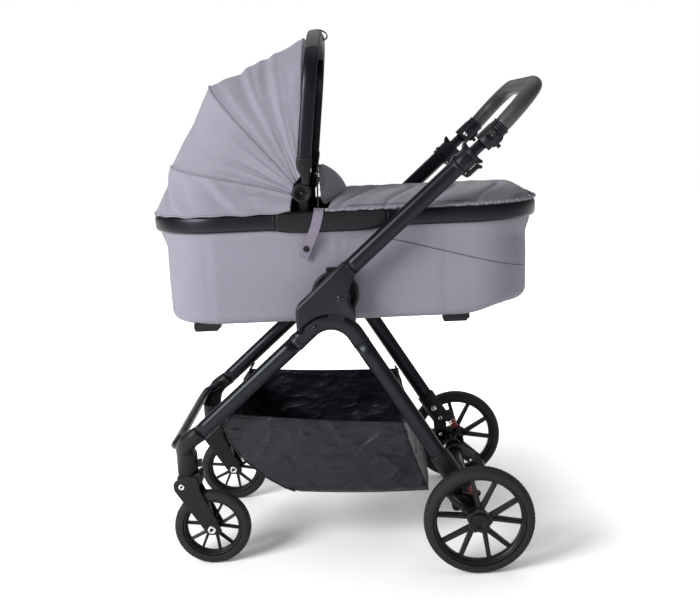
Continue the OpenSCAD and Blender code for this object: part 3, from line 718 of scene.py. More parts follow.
def makeLegs():
    tube = stadium(chassis["tubeTall"], chassis["tubeWide"], 16)
    across = (0, 1, 0)

    def frontLeg():
        return sweep("frontLeg", [at(p, sideY) for p in straight(frontSeam, knee, 14)], tube, across,
                     finishes["tube"])

    def rearLeg():
        return sweep("rearLeg", [at(p, sideY) for p in straight(rearSeam, onRear(77, 0), 14)], tube, across,
                     finishes["tube"])

    def bend():
        line = straight(frontSeam, around(arch, frontTouch, archR), 4)[:-1]
        line += arcPoints(arch, archR, frontTouch, rearTouch, 40)
        line += straight(around(arch, rearTouch, archR), rearSeam, 4)[1:]
        body = sweep("bend", [at(p, sideY) for p in line], stadium(legSizes["archTall"], legSizes["archWide"],
                                                                   16), across,
                     finishes["casting"])
        ear = [around(pivot, a, 22) for a in range(-20, 201, 10)]
        top = around(arch, angleTo(arch, pivot), archR)
        ear += [(top[0] - 20, top[1] - 4), (top[0] + 16, top[1] - 4)]
        lug = plate("bendEar", ear, sideY - 14, sideY + 14, finishes["casting"], 1.5)
        bands = []
        for p, q in ((frontSeam, around(frontSeam, frontSlope + 180, 13)),
                     (rearSeam, around(rearSeam, rearSlope + 180, 3))):
            cut = stadium(legSizes["archTall"] + 2 * legSizes["ring"],
                          legSizes["archWide"] + 2 * legSizes["ring"] + 1.2, 16)
            bands.append(soften(sweep("bendRing", [at(p, sideY), at(q, sideY)], cut, across,
                                      finishes["casting"]), 0.6))
        return join("bend", [body, lug] + bands)

    pair(frontLeg, "chassis", "anodised_tube", "front_leg_SIDE")
    pair(rearLeg, "chassis", "anodised_tube", "rear_leg_SIDE")
    pair(bend, "chassis", "frame_casting", "side_arch_SIDE")


def makeFrameScrews():
    heads = []
    for s in (1, -1):
        spots = [(around(arch, frontTouch - 10, archR - 2), 14.2, 1), (onRear(96, 0), 19.6, 1),
                 (onRear(120, 0), 19.6, -1)]
        for p, out, face in spots:
            head = domeScrew("screwHead", p, 0, legSizes["screw"], "darkSteel" if face > 0 else "steel")
            heads.append(faceWay(head, s * face, s * (sideY + face * out)))
    place(join("frameScrews", heads), "chassis", "screw_steel", "frame_screws")


makeLegs()
makeFrameScrews()
print("stage: side frames made")


frontEnd = {"housing": 48, "crossTall": 46, "crossThin": 20, "crossTilt": 52}


def makeKnees():
    sx, sz, fy = chassis["swivelX"], chassis["swivelZ"], chassis["frontY"]

    def kneePiece():
        rings = []
        ahead = (Vector((sx + 4, 0, sz + 68)) - Vector((knee[0], 0, knee[1]))).normalized()
        stations = [(knee, sideY, 0.0, 40, 34), ((knee[0] - 12, knee[1] - 7.6), sideY, 0.0, 40, 34),
                    ((knee[0] - 26, knee[1] - 17.5), sideY - 3, 0.18, 41, 36),
                    ((sx + 5, sz + 76), sideY - 12, 0.5, 43, 41),
                    ((sx + 1, sz + 62), fy + 14, 0.82, 46, 46), ((sx, sz + 50), fy + 2, 1.0, 48, 48),
                    ((sx, sz + 46), fy, 1.0, 48, 48), ((sx, sz + 1), fy, 1.0, 48, 48)]
        first, last = Vector((ahead.x, 0, ahead.z)), Vector((0, 0, -1))
        for (x, z), y, bend_, tall, wide in stations:
            t = first.lerp(last, bend_).normalized()
            n = Vector((0, 1, 0)).cross(t).normalized()
            b = t.cross(n).normalized()
            cut = stadium(tall, wide, 14) if tall != wide else stadium(tall, wide - 0.01, 14)
            rings.append([tuple(Vector((x, y, z)) + n * u + b * v) for u, v in cut])
        body = loft("kneeBody", rings, finishes["plastic"])
        return soften(body, 1.0, 2, 60)

    pair(lambda: renamed(kneePiece(), "knee"), "chassis", "black_plastic", "front_knee_SIDE")
    c = Vector((sx - 22, 0, sz + 72))
    tilt = math.radians(frontEnd["crossTilt"])
    tallAxis = Vector((math.cos(tilt), 0, math.sin(tilt)))
    half = [(-349, 236, 333), (-366, 230, 322), (-388, 214, 309), (c.x + 3, 196, c.z + 4), (c.x, 176, c.z)]
    half = rounded(half, 60, 5)
    line = half + [(c.x, y, c.z) for y in range(150, -151, -50)] + [(x, -y, z) for x, y, z in reversed(half)]
    rings = []
    cut = stadium(frontEnd["crossTall"], frontEnd["crossThin"], 12)
    for i, p in enumerate(line):
        a, b = Vector(line[max(0, i - 1)]), Vector(line[min(len(line) - 1, i + 1)])
        t = (b - a).normalized()
        thin = t.cross(tallAxis).normalized()
        grow_ = 1.0 - 0.22 * ease((abs(p[1]) - 178) / 50)
        rings.append([tuple(Vector(p) + tallAxis * u * grow_ + thin * v) for u, v in cut])
    bar = loft("crossbar", rings, finishes["tube"])
    place(bar, "chassis", "frame_casting", "front_crossbar")


def renamed(piece, name):
    piece.name = name
    piece.data.name = name
    return piece


def makeForks():
    sx, sz, fy = chassis["swivelX"], chassis["swivelZ"], chassis["frontY"]
    shoulder = (sx, sz - 12.6)

    def forkPiece():
        outline = [(sx - 31, shoulder[1] - 24)] + arcPoints((sx - 17, shoulder[1] - 12), 16, 185, 100, 5)
        outline += [(sx + 22, shoulder[1] + 10), (sx + 27, shoulder[1] - 8), (sx + 27, shoulder[1] - 24),
                    (frontAxle[0] + 24, frontAxle[1] - 3), (frontAxle[0] + 17, frontAxle[1] - 13),
                    (frontAxle[0] - 6, frontAxle[1] - 13), (frontAxle[0] - 16, frontAxle[1] - 2)]
        parts = [plate("forkPlate", outline, fy + s * 22.5 - 2.5, fy + s * 22.5 + 2.5, finishes["plastic"],
                       1.8, 3)
                 for s in (-1, 1)]
        crown = [(p[0], p[1]) for p in [(sx - 27, shoulder[1] - 12), (sx - 22, shoulder[1] + 8),
                                        (sx + 21, shoulder[1] + 8),
                                        (sx + 25, shoulder[1] - 14), (sx + 4, shoulder[1] - 26),
                                        (sx - 24, shoulder[1] - 26)]]
        parts.append(plate("forkCrown", crown, fy - 24, fy + 24, finishes["plastic"], 3, 3))
        neck = [[(sx + 23 * math.cos(a * math.pi / 24), fy + 23 * math.sin(a * math.pi / 24), z)
                 for a in range(48)]
                for z in (shoulder[1] - 4, shoulder[1] + 11.2)]
        parts.append(soften(loft("forkNeck", neck, finishes["plastic"]), 1.0))
        guard = [around((sx + 20, shoulder[1] + 4), a, 17) for a in range(60, -61, -20)]
        guard += [(sx + 16, shoulder[1] - 8), (sx + 12, shoulder[1] + 8)]
        parts.append(plate("forkGuard", guard, fy - 20, fy + 20, finishes["plastic"], 3, 3))
        return join("fork", parts)

    pair(forkPiece, "caster_SIDE", "black_plastic", "caster_fork_SIDE")
    for word, s in sideSign.items():
        rings = []
        for p, r in ((frontAxle, 9.6), ((sx - 14, shoulder[1] - 14), 7.0)):
            for face in (-1, 1):
                y = s * fy + face * 25.0
                rings.append(lathe("boltRing", [(r, y), (r, y + face * 1.2), (r * 0.8, y + face * 2.0),
                                                (r * 0.48, y + face * 1.6), (r * 0.42, y + face * 0.4),
                                                (r * 0.42, y)], p, finishes["steel"], 32))
                rings.append(lathe("boltCore", [(r * 0.42, y), (r * 0.4, y + face * 0.6),
                                                (0.001, y + face * 0.6),
                                                (0.001, y)], p, finishes["darkSteel"], 24))
        axle = lathe("frontAxlePin", [(5.9, s * fy - 24), (5.9, s * fy + 24), (0.001, s * fy + 24),
                                      (0.001, s * fy - 24)],
                     frontAxle, finishes["steel"], 24)
        place(join("forkBolts" + word.title(), rings + [axle]), "caster_" + word, "screw_steel")


makeKnees()
makeForks()


wheelSizes = {
    "front": {"d": 180, "w": 32, "tyre": 20, "spoke": 3.0, "hub": 17, "hubIn": -19, "hubOut": 19, "tread": 64,
              "start": 82.0,
              "ridge": 8.0, "deep": 9},
    "rear": {"d": 250, "w": 38, "tyre": 20, "spoke": 5.0, "hub": 25, "hubIn": -33, "hubOut": 15.5,
             "tread": 84, "start": 82.5,
             "ridge": 10.0, "deep": 12}}


def tyrePiece(name, kind, c, y, s):
    z = wheelSizes[kind]
    outer, w, t = z["d"] / 2, z["w"], z["tyre"]
    inner = outer - t
    cut = []
    for i in range(29):  # from one bead over the tread to the other
        a = math.radians(-118 + 236 * i / 28)
        r = outer - w * 0.47 + w * 0.47 * math.copysign(abs(math.cos(a)) ** 0.8, math.cos(a))
        v = w / 2 * math.copysign(abs(math.sin(a)) ** 0.75, math.sin(a))
        cut.append((max(r, inner), v))
    for k, groove in ((5, 0.6), (23, 0.6)):
        cut[k] = (cut[k][0] - groove, cut[k][1])
    cut = [(inner, -w / 2 + 6)] + cut + [(inner, w / 2 - 6)]
    body = lathe(name, [(r, y + v) for r, v in cut], c, finishes["tyre"], 120)
    lugPieces = []
    for edge in (-1, 1):
        lug = makePiece("lug", [], [], finishes["tyre"], closed=False)
        mesh = treadLug(outer, w, edge)
        lug.data = mesh
        block = grow("tread", "ring", {"Template": template(lug), "Count": z["tread"], "Start Angle": 0.0,
                                       "Centre": (c[0] * 0.001, y * 0.001, c[1] * 0.001),
                                       "Finish": finishes["tyre"]})
        drop(lug)
        lugPieces.append(block)
    return join(name, [body] + lugPieces)


def treadLug(outer, w, edge):  # one low slanted shoulder block of the tread
    points = []
    for r, v in ((outer - 0.2, 3.5), (outer - 1.4, 9.0), (outer - 5.0, w * 0.5 - 2.6)):
        slant = v * 0.02
        for k in (-1, 1):
            a = math.radians(90) + (k * 1.15 + slant * 14) / outer
            points.append((r * math.cos(a), edge * v, r * math.sin(a)))
    tops = [(x * 1.006, v * 1.02, zz * 1.006) for x, v, zz in points]
    n = len(points)
    faces = [(0, 1, 3, 2), (2, 3, 5, 4), (n + 0, n + 2, n + 3, n + 1), (n + 2, n + 4, n + 5, n + 3)]
    rim = [0, 2, 4, 5, 3, 1]
    faces += [(rim[i], rim[(i + 1) % 6], n + rim[(i + 1) % 6], n + rim[i]) for i in range(6)]
    piece = makePiece("lugShape", points + tops, faces, finishes["tyre"])
    mesh = piece.data
    bpy.data.objects.remove(piece)
    return mesh


def spokePiece(z, s, lean):  # a tapered bar with a raised ridge, pointing up from the axle
    ring = z["d"] / 2 - z["tyre"]
    root, tip = around((0, 0), 90, z["hub"] * 0.8), around((0, 0), 90 + lean, ring - 4)
    w, ridge, deep = z["spoke"], z["ridge"], z["deep"]
    u = Vector((tip[0] - root[0], 0, tip[1] - root[1])).normalized()
    side = Vector((-u.z, 0, u.x))
    rings = []
    for k, wide in ((0.0, 1.05), (0.5, 0.92), (1.0, 0.85)):
        p = Vector((mix(root[0], tip[0], k), 0, mix(root[1], tip[1], k)))
        half = w * wide * 0.5
        back = w * wide * 1.15
        cut = [(-back, -deep), (back, -deep), (back, 0.0), (half, 1.2), (half, ridge * 0.45),
               (-half, ridge * 0.45),
               (-half, 1.2), (-back, 0.0)]
        rings.append([tuple(p + side * a + Vector((0, s * b, 0))) for a, b in cut])
    return soften(loft("spoke", rings, finishes["wheel"]), 0.6, 2)


def rimPiece(name, kind, c, y, s):
    z = wheelSizes[kind]
    ring, w = z["d"] / 2 - z["tyre"], z["w"]
    half = w / 2
    cut = [(ring - 0.2, -half + 5), (ring - 0.2, half - 5), (ring - 1.2, half - 3.2),
           (ring - 4.5, half - 3.2),
           (ring - 5.5, half - 4.5), (ring - 6.2, half - 10), (ring - 9.5, half - 11), (ring - 10, half - 13),
           (ring - 10, -half + 13), (ring - 9.5, -half + 11), (ring - 6.2, -half + 10),
           (ring - 5.5, -half + 4.5),
           (ring - 4.5, -half + 3.2), (ring - 1.2, -half + 3.2)]
    parts = [lathe("rimRing", [(r, y + v) for r, v in cut], c, finishes["wheel"], 120)]
    lo, hi = (y + s * z["hubIn"], y + s * z["hubOut"])
    bore = 6.05
    parts.append(lathe("rimHub", [(bore, lo), (z["hub"] * 0.72, lo), (z["hub"] * 0.78, lo + s * 2),
                                  (z["hub"] * 0.9, y - s * 6),
                                  (z["hub"], y - s * 4), (z["hub"], y + s * 4), (z["hub"] * 0.86, y + s * 8),
                                  (z["hub"] * 0.8, hi - s * 1.5), (z["hub"] * 0.72, hi), (bore, hi)], c,
                                  finishes["wheel"], 64))
    for lean in (-16.5, 16.5):
        bar = template(spokePiece(z, s, lean))
        parts.append(grow("spokes", "ring", {"Template": bar, "Count": 5,
                                             "Start Angle": math.radians(90 - z["start"]),
                                             "Centre": (c[0] * 0.001, (y + s * 3) * 0.001, c[1] * 0.001),
                                             "Finish": finishes["wheel"]}))
        drop(bar)
    if kind == "rear":
        flange = []
        for i in range(40):
            a = 82.5 + 36 + i * 9
            flange.append(around(c, a, 25 + 6 * abs(math.cos(math.radians(2.5 * (a - 82.5)))) ** 1.5))
        lowY, highY = sorted((y + s * 4, y + s * 13.5))
        parts.append(plate("rimFlange", flange, lowY, highY, finishes["wheel"], 2, 3))
        cap = y + s * 17.2
        parts.append(lathe("rimCap", [(20, cap - s * 4), (20, cap + s * 2.6), (18.6, cap + s * 4.4),
                                      (15, cap + s * 5),
                                      (14.4, cap + s * 4.4), (0.001, cap + s * 4.4), (0.001, cap - s * 4)], c,
                                      finishes["plastic"], 64))
    return join(name, parts)


def makeWheels():
    for word, s in sideSign.items():
        for kind, c, y in (("front", frontAxle, chassis["frontY"]), ("rear", rearAxle, chassis["rearY"])):
            body = f"{kind}_wheel_{word}"
            place(tyrePiece(f"{kind}Tyre{word.title()}", kind, c, s * y, s), body, "tyre_rubber",
                  f"{kind}_tyre_{word}")
            place(rimPiece(f"{kind}Rim{word.title()}", kind, c, s * y, s), body, "wheel_plastic",
                  f"{kind}_rim_{word}")


makeWheels()
print("stage: wheels made")


rearEnd = {"armY": 235.6, "armT": 16, "lugY": 222, "lugT": 13, "turns": 4.5, "coil": 8.6, "wire": 1.35}


def barOutline(p, q, w0, w1, n=8):
    a = angleTo(p, q)
    return arcPoints(p, w0 / 2, a + 90, a + 270, n) + arcPoints(q, w1 / 2, a - 90, a + 90, n)


def makeRearEnd():
    armPivot, tube = (rearAxle[0] - 46, rearAxle[1] + 28), (rearAxle[0] - 18, rearAxle[1] + 17)
    rod = (rearAxle[0] - 44, rearAxle[1] + 5)
    armY, armT, lugY, lugT = rearEnd["armY"], rearEnd["armT"], rearEnd["lugY"], rearEnd["lugT"]
    springLow, springTop = onRear(36, 19), onRear(62, 19)

    def housing():
        line = [at(p, sideY) for p in straight(onRear(162, 0), onRear(70, 0), 8)]
        sleeve = sweep("housingSleeve", line, stadium(47, 39, 16), (0, 1, 0), finishes["plastic"])
        parts = [soften(sleeve, 2.5, 3)]
        for outline in (barOutline(onRear(90, 0), armPivot, 34, 34), barOutline(armPivot, tube, 30, 34),
                        barOutline(armPivot, rod, 24, 22)):
            parts.append(plate("housingLug", outline, lugY, lugY + lugT, finishes["plastic"], 2, 3))
        cup = [at(p, armY + armT / 2) for p in straight(springTop, onRear(86, 19), 4)]
        parts.append(soften(sweep("springCup", cup, stadium(26, 25.9, 12), (0, 1, 0), finishes["plastic"]), 3,
                            3))
        return join("rearHousing", parts)

    def arm():
        parts = [plate("armWeb", barOutline(armPivot, rearAxle, 26, 38), armY, armY + armT,
                       finishes["plastic"], 2.5, 3),
                 plate("armFoot", barOutline(rearAxle, (springLow[0], springLow[1] - 6), 20, 18), armY + 1,
                       armY + armT - 1,
                       finishes["plastic"], 2, 3)]
        seat = [at(p, armY + armT / 2) for p in straight(onRear(28, 19), springLow, 3)]
        parts.append(soften(sweep("armSeat", seat, stadium(24, 23.9, 12), (0, 1, 0), finishes["plastic"]), 2,
                            3))
        parts.append(lathe("armHub", [(16, armY), (19, armY + 3), (19, armY + armT - 3),
                                      (16, armY + armT + 0.4), (0.001, armY + armT + 0.4), (0.001, armY)],
                           rearAxle, finishes["plastic"], 48))
        pinEnd = 316
        parts.append(lathe("armAxle", [(5.9, armY + armT), (5.9, pinEnd), (0.001, pinEnd),
                                       (0.001, armY + armT)], rearAxle,
                           finishes["steel"], 24))
        parts.append(lathe("armPivotPin", [(4.9, lugY - 2.4), (4.9, armY + 0.5), (0.001, armY + 0.5),
                                           (0.001, lugY - 2.4)], armPivot,
                           finishes["steel"], 24))
        return join("swingArm", parts)

    pair(housing, "chassis", "black_plastic", "rear_housing_SIDE")
    pair(arm, "suspension_SIDE", "black_plastic", "swing_arm_SIDE")
    for word, s in sideSign.items():
        length = math.dist(springLow, springTop)
        coil = grow("spring" + word.title(), "coil", {"Turns": rearEnd["turns"],
                                                      "Radius": rearEnd["coil"] * 0.001,
                    "Height": length * 0.001, "Wire": rearEnd["wire"] * 0.001, "Finish": finishes["red"]})
        lean = math.radians(90 - angleTo(springLow, springTop))
        spot = Matrix.Translation((springLow[0] * 0.001, s * (armY + armT / 2) * 0.001, springLow[1] * 0.001))
        coil.data.transform(spot @ Matrix.Rotation(lean, 4, "Y"))
        place(coil, "suspension_" + word, "red_spring", "spring_" + word)
    rivets = []
    for s in (1, -1):
        for p in (onRear(122, 0), onRear(88, 0)):
            y = s * (sideY - 19.4)
            rivets.append(lathe("rivet", [(5.4, y), (5.4, y - s * 0.9), (4.6, y - s * 1.5),
                                          (2.9, y - s * 1.3), (2.6, y)], p,
                                finishes["steel"], 28))
    place(join("hollowRivets", rivets), "chassis", "screw_steel")
    cross = [lathe("axleTube", [(14, -221.9), (14, 221.9), (0.001, 221.9), (0.001, -221.9)], tube,
                   finishes["tube"], 48),
             lathe("axleRod", [(4, -221.9), (4, 221.9), (0.001, 221.9), (0.001, -221.9)], rod,
                   finishes["tube"], 24)]
    place(join("rearAxleTube", cross), "chassis", "anodised_tube", "rear_axle_tube")
    makePedal(tube)


pedal = {"y": 130, "wide": 84, "tipWide": 58}


def makePedal(tube):
    root, tip = (tube[0] + 15, tube[1] - 3), (tube[0] + 79, tube[1] - 47)
    n = Vector((44, 0, 64)).normalized()
    rings = []
    for i in range(13):
        t = i / 12
        x, z = mix(root[0], tip[0], t), mix(root[1], tip[1], t) + 4 * math.sin(math.pi * t)
        half = mix(pedal["wide"], pedal["tipWide"], ease(t)) / 2 * (1.0 if t < 0.94 else 0.92)
        cut = [(half * math.copysign(abs(c_) ** 0.35, c_), 3.2 * math.copysign(abs(s_) ** 0.7, s_))
               for c_, s_ in ((math.cos(a), math.sin(a)) for a in (2 * math.pi * k / 40 for k in range(40)))]
        rings.append([(x + n.x * v, pedal["y"] + u, z + n.z * v) for u, v in cut])
    parts = [loft("pedalBlade", rings, finishes["plastic"])]
    for y in (94, 142):
        ring = [(21, y), (21, y + 12), (14.1, y + 12), (14.1, y)]
        parts.append(lathe("pedalRing", ring, tube, finishes["plastic"], 48, 0.8))
        parts.append(plate("pedalArm", barOutline((tube[0] + 18, tube[1] - 8), (tube[0] + 34, tube[1] - 22),
                                                  13, 10), y, y + 12,
                           finishes["plastic"], 2, 2))
    for k in range(4):
        x, z = mix(root[0], tip[0], 0.62 + 0.09 * k), mix(root[1], tip[1], 0.62 + 0.09 * k)
        bar = [(x + n.x * 6.2, pedal["y"] + y, z + n.z * 6.2) for y in (-22, 22)]
        parts.append(soften(sweep("pedalRib", bar, stadium(2.4, 2.39, 6), (n.x, 0, n.z), finishes["plastic"]),
                            0.4))
    place(join("brakePedal", parts), "brake", "black_plastic", "brake_pedal")


makeRearEnd()
print("stage: rear end made")


blockSizes = {"cheekIn": 16.6, "cheekOut": 22.6, "edge": 11.0, "neckFrom": 34, "neckTo": 62}


def cheekOutline():  # (point, how far its edge is rounded)
    left, rimR = pivot[0] - 100, archR + 20.2
    out = [(onPush(58, 19), 7.0), (onPush(44, 19.2), 9.0), (onPush(20, 19.2), blockSizes["edge"])]
    out += [(p, blockSizes["edge"]) for p in arcPoints((left + 24, pivot[1] - 30), 24, 131, 180, 6)]
    out += [((left, arch[1] + 62), 9.0), ((left, arch[1] + 44), 5.0)]
    begin = 180 - math.degrees(math.acos(min(1, (arch[0] - left) / rimR))) if arch[0] - left < rimR else 161
    out += [(around(arch, a, rimR), 0.6) for a in [mix(begin, 47, k / 18) for k in range(19)]]
    curve = arcPoints((pivot[0] + 70, pivot[1] + 4), 52, 222, 140, 8)
    out += [(p, mix(1.5, 7.0, ease(i / 4))) for i, p in enumerate(curve)]
    out += [(onPush(48, -19.2), 7.0), (onPush(58, -19), 7.0)]
    return out


def makeBlocks():
    inner, outer = blockSizes["cheekIn"], blockSizes["cheekOut"]
    s = math.radians(chassis["pushSlope"])
    along = Vector((math.cos(s), math.sin(s)))

    def block():
        marks = cheekOutline()
        pts = [Vector(p) for p, _ in marks]
        n = len(pts)
        area = sum(pts[i].x * pts[(i + 1) % n].y - pts[(i + 1) % n].x * pts[i].y for i in range(n))
        inward = []
        for i in range(n):
            t = (pts[(i + 1) % n] - pts[i - 1]).normalized()
            inward.append(Vector((-t.y, t.x)) * (1 if area > 0 else -1))
        parts = []
        for face in (-1, 1):
            rings = [[at(p, sideY + face * inner) for p in pts]]
            for k in range(7):
                a = math.radians(90 * k / 6)
                ring = []
                for i, p in enumerate(pts):
                    q = p + inward[i] * marks[i][1] * (1 - math.cos(a))
                    reach = (q - Vector(pivot)).dot(along)
                    top = mix(outer, inner + 0.9, ease((reach - 26) / 32))
                    ring.append(at(q, sideY + face * (inner + 1.2 + (top - inner - 1.2) * math.sin(a))))
                rings.append(ring)
            parts.append(loft("cheek", rings, finishes["casting"]))
        neck = [at(p, sideY) for p in straight(onPush(blockSizes["neckFrom"] + 4, 0),
                                               onPush(blockSizes["neckTo"], 0), 6)]
        parts.append(soften(sweep("neck", neck, stadium(38.8, 34.6, 16), (0, 1, 0), finishes["casting"]),
                            0.8))
        return join("hingeBlock", parts)

    def push():
        line = [at(p, sideY) for p in straight(onPush(60, 0), onPush(404, 0), 24)]
        return sweep("pushTube", line, stadium(38, 32, 16), (0, 1, 0), finishes["tube"])

    pair(block, "upper_frame", "frame_casting", "hinge_block_SIDE")
    pair(push, "upper_frame", "anodised_tube", "push_tube_SIDE")
    screws = []
    for s_ in (1, -1):
        head = domeScrew("pivotScrew", pivot, sideY + outer, 6.8)
        screws.append(faceWay(head, s_, 0))
    place(join("pivotScrews", screws), "upper_frame", "screw_steel")


def onPushPoint(along, off, y):
    return at(onPush(along, off), y)


def offsetPlate(name, outline, y0, y1, finish, edge=1.0):  # an outline in push-tube lengths
    return plate(name, [onPush(a, b) for a, b in outline], y0, y1, finish, edge)


handleSizes = {"collar": 376, "collarLen": 51, "sleeve": 453, "sleeveLen": 56, "grip": 36, "tube": 25,
               "reach": 118,
               "tilt": 5, "corner": 85}


def makeHandle():
    c0, s0 = handleSizes["collar"], handleSizes["sleeve"]
    across = (0, 1, 0)

    def ring(name, a, b, tall, wide, finish, edge=0.8):
        line = [onPushPoint(a, 0, sideY), onPushPoint(b, 0, sideY)]
        return soften(sweep(name, line, stadium(tall, wide, 16), across, finishes[finish]), edge)

    def collar():
        parts = [ring("collarBody", c0 + 10, c0 + 40, 44.5, 38.5, "casting"),
                 ring("collarBand", c0, c0 + 9, 45.5, 39.5, "casting"),
                 ring("collarTop", c0 + 39, c0 + 51, 42.5, 36.5, "casting")]
        reach = 27.5
        for sign in (1, -1):
            horn = [(c0 + 36, sign * 18), (c0 + 40, sign * 24), (c0 + 46, sign * (reach + 1)),
                    (c0 + 51.5, sign * (reach + 3)),
                    (c0 + 53, sign * (reach - 1)), (c0 + 51, sign * 18)]
            parts.append(offsetPlate("collarHorn", horn, sideY - 8, sideY + 8, finishes["casting"], 1.4))
            tab = [(c0 + 9, sign * 20), (c0 + 11, sign * 24.4), (c0 + 17, sign * 24.4), (c0 + 20, sign * 20)]
            parts.append(offsetPlate("collarTab", tab, sideY - 7, sideY + 7, finishes["casting"], 1.0))
        inlay = [(c0 + 13, -7.5), (c0 + 13, 7.5), (c0 + 37, 7.5), (c0 + 37, -7.5)]
        parts.append(offsetPlate("collarInlay", inlay, sideY + 17.5, sideY + 20.0, finishes["darkSteel"],
                                 0.6))
        return join("collar", parts)

    def sleeve():
        parts = [ring("sleeveBody", s0, s0 + 40, 42, 38.2, "casting", 1.4),
                 ring("sleeveRingA", s0 + 40.5, s0 + 46, 40.6, 38.6, "casting"),
                 ring("sleeveRingB", s0 + 46.5, s0 + 51, 39.6, 37.8, "casting"),
                 ring("sleeveRingC", s0 + 51.5, s0 + 57, 40.8, 39.0, "casting")]
        box = [(s0 + 10, -16), (s0 + 12, -23.5), (s0 + 20, -24), (s0 + 33, -24), (s0 + 40, -22),
               (s0 + 44, -16)]
        parts.append(offsetPlate("sleeveHousing", box, sideY - 11, sideY + 11, finishes["casting"], 2.0))
        spot = onPush(s0 + 24, 2)
        parts.append(lathe("sleeveDisc", [(12.4, sideY + 18.2), (12.4, sideY + 19.6), (11.2, sideY + 20.4),
                                          (10.4, sideY + 19.8),
                                          (0.001, sideY + 19.9), (0.001, sideY + 18.2)], spot,
                                          finishes["darkSteel"], 56))
        return join("sleeve", parts)

    right, left = pair(collar, "upper_frame", "frame_casting")
    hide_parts("tube_collars")
    right, left = pair(sleeve, "handle", "frame_casting")
    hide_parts("handle_sleeves")
    inside = []
    for s in (1, -1):
        for y, spot, r in ((-19.3, onPush(s0 + 14, 1), 5.2), (-19.3, onPush(s0 + 27, 5), 5.6)):
            screw = domeScrew("sleeveScrew", spot, 0, r, "steel" if r < 5.4 else "darkSteel")
            inside.append(faceWay(screw, -s, s * (sideY + y)))
    place(join("sleeveScrews", inside), "handle", "screw_steel")

    def trigger():
        low = -19 - 3.5 - 0.6
        body = [(c0 + 1, low - 1), (c0 + 4, low - 8), (c0 + 9, low - 9.5), (c0 + 34, low - 9.5),
                (c0 + 38, low - 14), (c0 + 43, low - 15),
                (c0 + 45, low - 11), (c0 + 42, low - 4), (c0 + 40, low - 0.6)]
        parts = [offsetPlate("triggerBody", body, sideY - 9, sideY + 9, finishes["plastic"], 1.2)]
        for k in range(6):
            a = c0 + 11 + 4.2 * k
            rib = [(a, low - 9), (a + 0.4, low - 11), (a + 2, low - 11), (a + 2.4, low - 9)]
            parts.append(offsetPlate("triggerRib", rib, sideY - 8, sideY + 8, finishes["plastic"], 0.4))
        return join("foldTrigger", parts)

    def button():
        spot = onPush(s0 + 22, -22)
        far = onPush(s0 + 22, -31.5)
        line = [at(p, sideY) for p in straight(spot, far, 3)]
        parts = [soften(sweep("buttonCap", line, stadium(9.0, 8.99, 12), across, finishes["plastic"]), 0.9)]
        return join("adjustButton", parts)

    pair(trigger, "fold_trigger_SIDE", "black_plastic", "fold_trigger_SIDE")
    pair(button, "adjust_button_SIDE", "black_plastic", "adjust_button_SIDE")
    tubes = []
    bowStart = s0 + handleSizes["sleeveLen"]
    for s in (1, -1):
        line = [onPushPoint(a, 0, s * sideY) for a in (270, 404, bowStart)]
        tubes.append(sweep("slideTube", line, stadium(25, 24.99, 14), across, finishes["tube"]))
    place(join("slideTubes", tubes), "handle", "anodised_tube", "handle_tube")
    makeGrip(bowStart)


def bowPoint(x, y, up=0.0):  # a place in the handle's own tilted plane
    p = onPush(handleSizes["sleeve"] + handleSizes["sleeveLen"], 0)
    a = math.radians(chassis["pushSlope"] + handleSizes["tilt"])
    return (p[0] + x * math.cos(a) - up * math.sin(a), y, p[1] + x * math.sin(a) + up * math.cos(a))


def bowLine(inset=0.0, start=-2.0, up=0.0, steps=14):
    reach, r = handleSizes["reach"] - inset, handleSizes["corner"] - inset
    y = sideY - inset
    out = [(mix(start, reach - r, k / 4), y) for k in range(4)]
    out += [(reach - r + r * math.sin(math.radians(90 * k / steps)),
             y - r + r * math.cos(math.radians(90 * k / steps)))
            for k in range(steps + 1)]
    out += [(reach, mix(y - r, r - y, k / 8)) for k in range(1, 8)]
    back = [(x, -v) for x, v in reversed(out[:4 + steps + 1])]
    return [bowPoint(x, v, up) for x, v in out + back]


def makeGrip(bowStart):
    a = math.radians(chassis["pushSlope"] + handleSizes["tilt"])
    normal = (-math.sin(a), 0, math.cos(a))
    r = handleSizes["grip"] / 2

    def section(t):
        swell = 1.0 - 0.05 * (1 - min(1, min(t, 1 - t) * 30))
        return [(u * swell, v * swell) for u, v in blunt(2 * r, 2 * r, 2.15, 28)]

    grip = sweep("handleGrip", bowLine(), section, normal, finishes["leather"])
    place(grip, "handle", "grip_leather", "handle_grip")
    rows = []
    for lean in (-38, 38):
        stitch = stitchTemplate(8.5, 0.75, "laceStitch")
        stitch.data.transform(Matrix.Rotation(math.radians(lean), 4, "X"))
        rows.append(grow("lacing", "path", {"Template": stitch, "Spacing": 0.0052, "Size": 1.0,
                                            "Finish": finishes["thread"]},
                         guideLine("lacingGuide", bowLine(inset=r * 0.96, start=6, up=0.0))))
        drop(stitch)
    place(join("gripLacing", rows), "handle", "grip_leather")
    seam = []
    for up in (r * 0.27, -r * 0.27):
        seam.append(sweep("gripSeam", bowLine(inset=r * 0.94, start=6, up=up), blunt(1.5, 1.5, 2, 8), normal,
                          finishes["leather"]))
    place(join("gripSeams", seam), "handle", "grip_leather")


makeBlocks()
makeHandle()
print("stage: fold joint and handle made")


cotSizes = {"taper": 13, "taperDepth": 50, "footFrom": 250, "footRise": 20, "corner": 22, "wall": 7,
            "steps": 40}


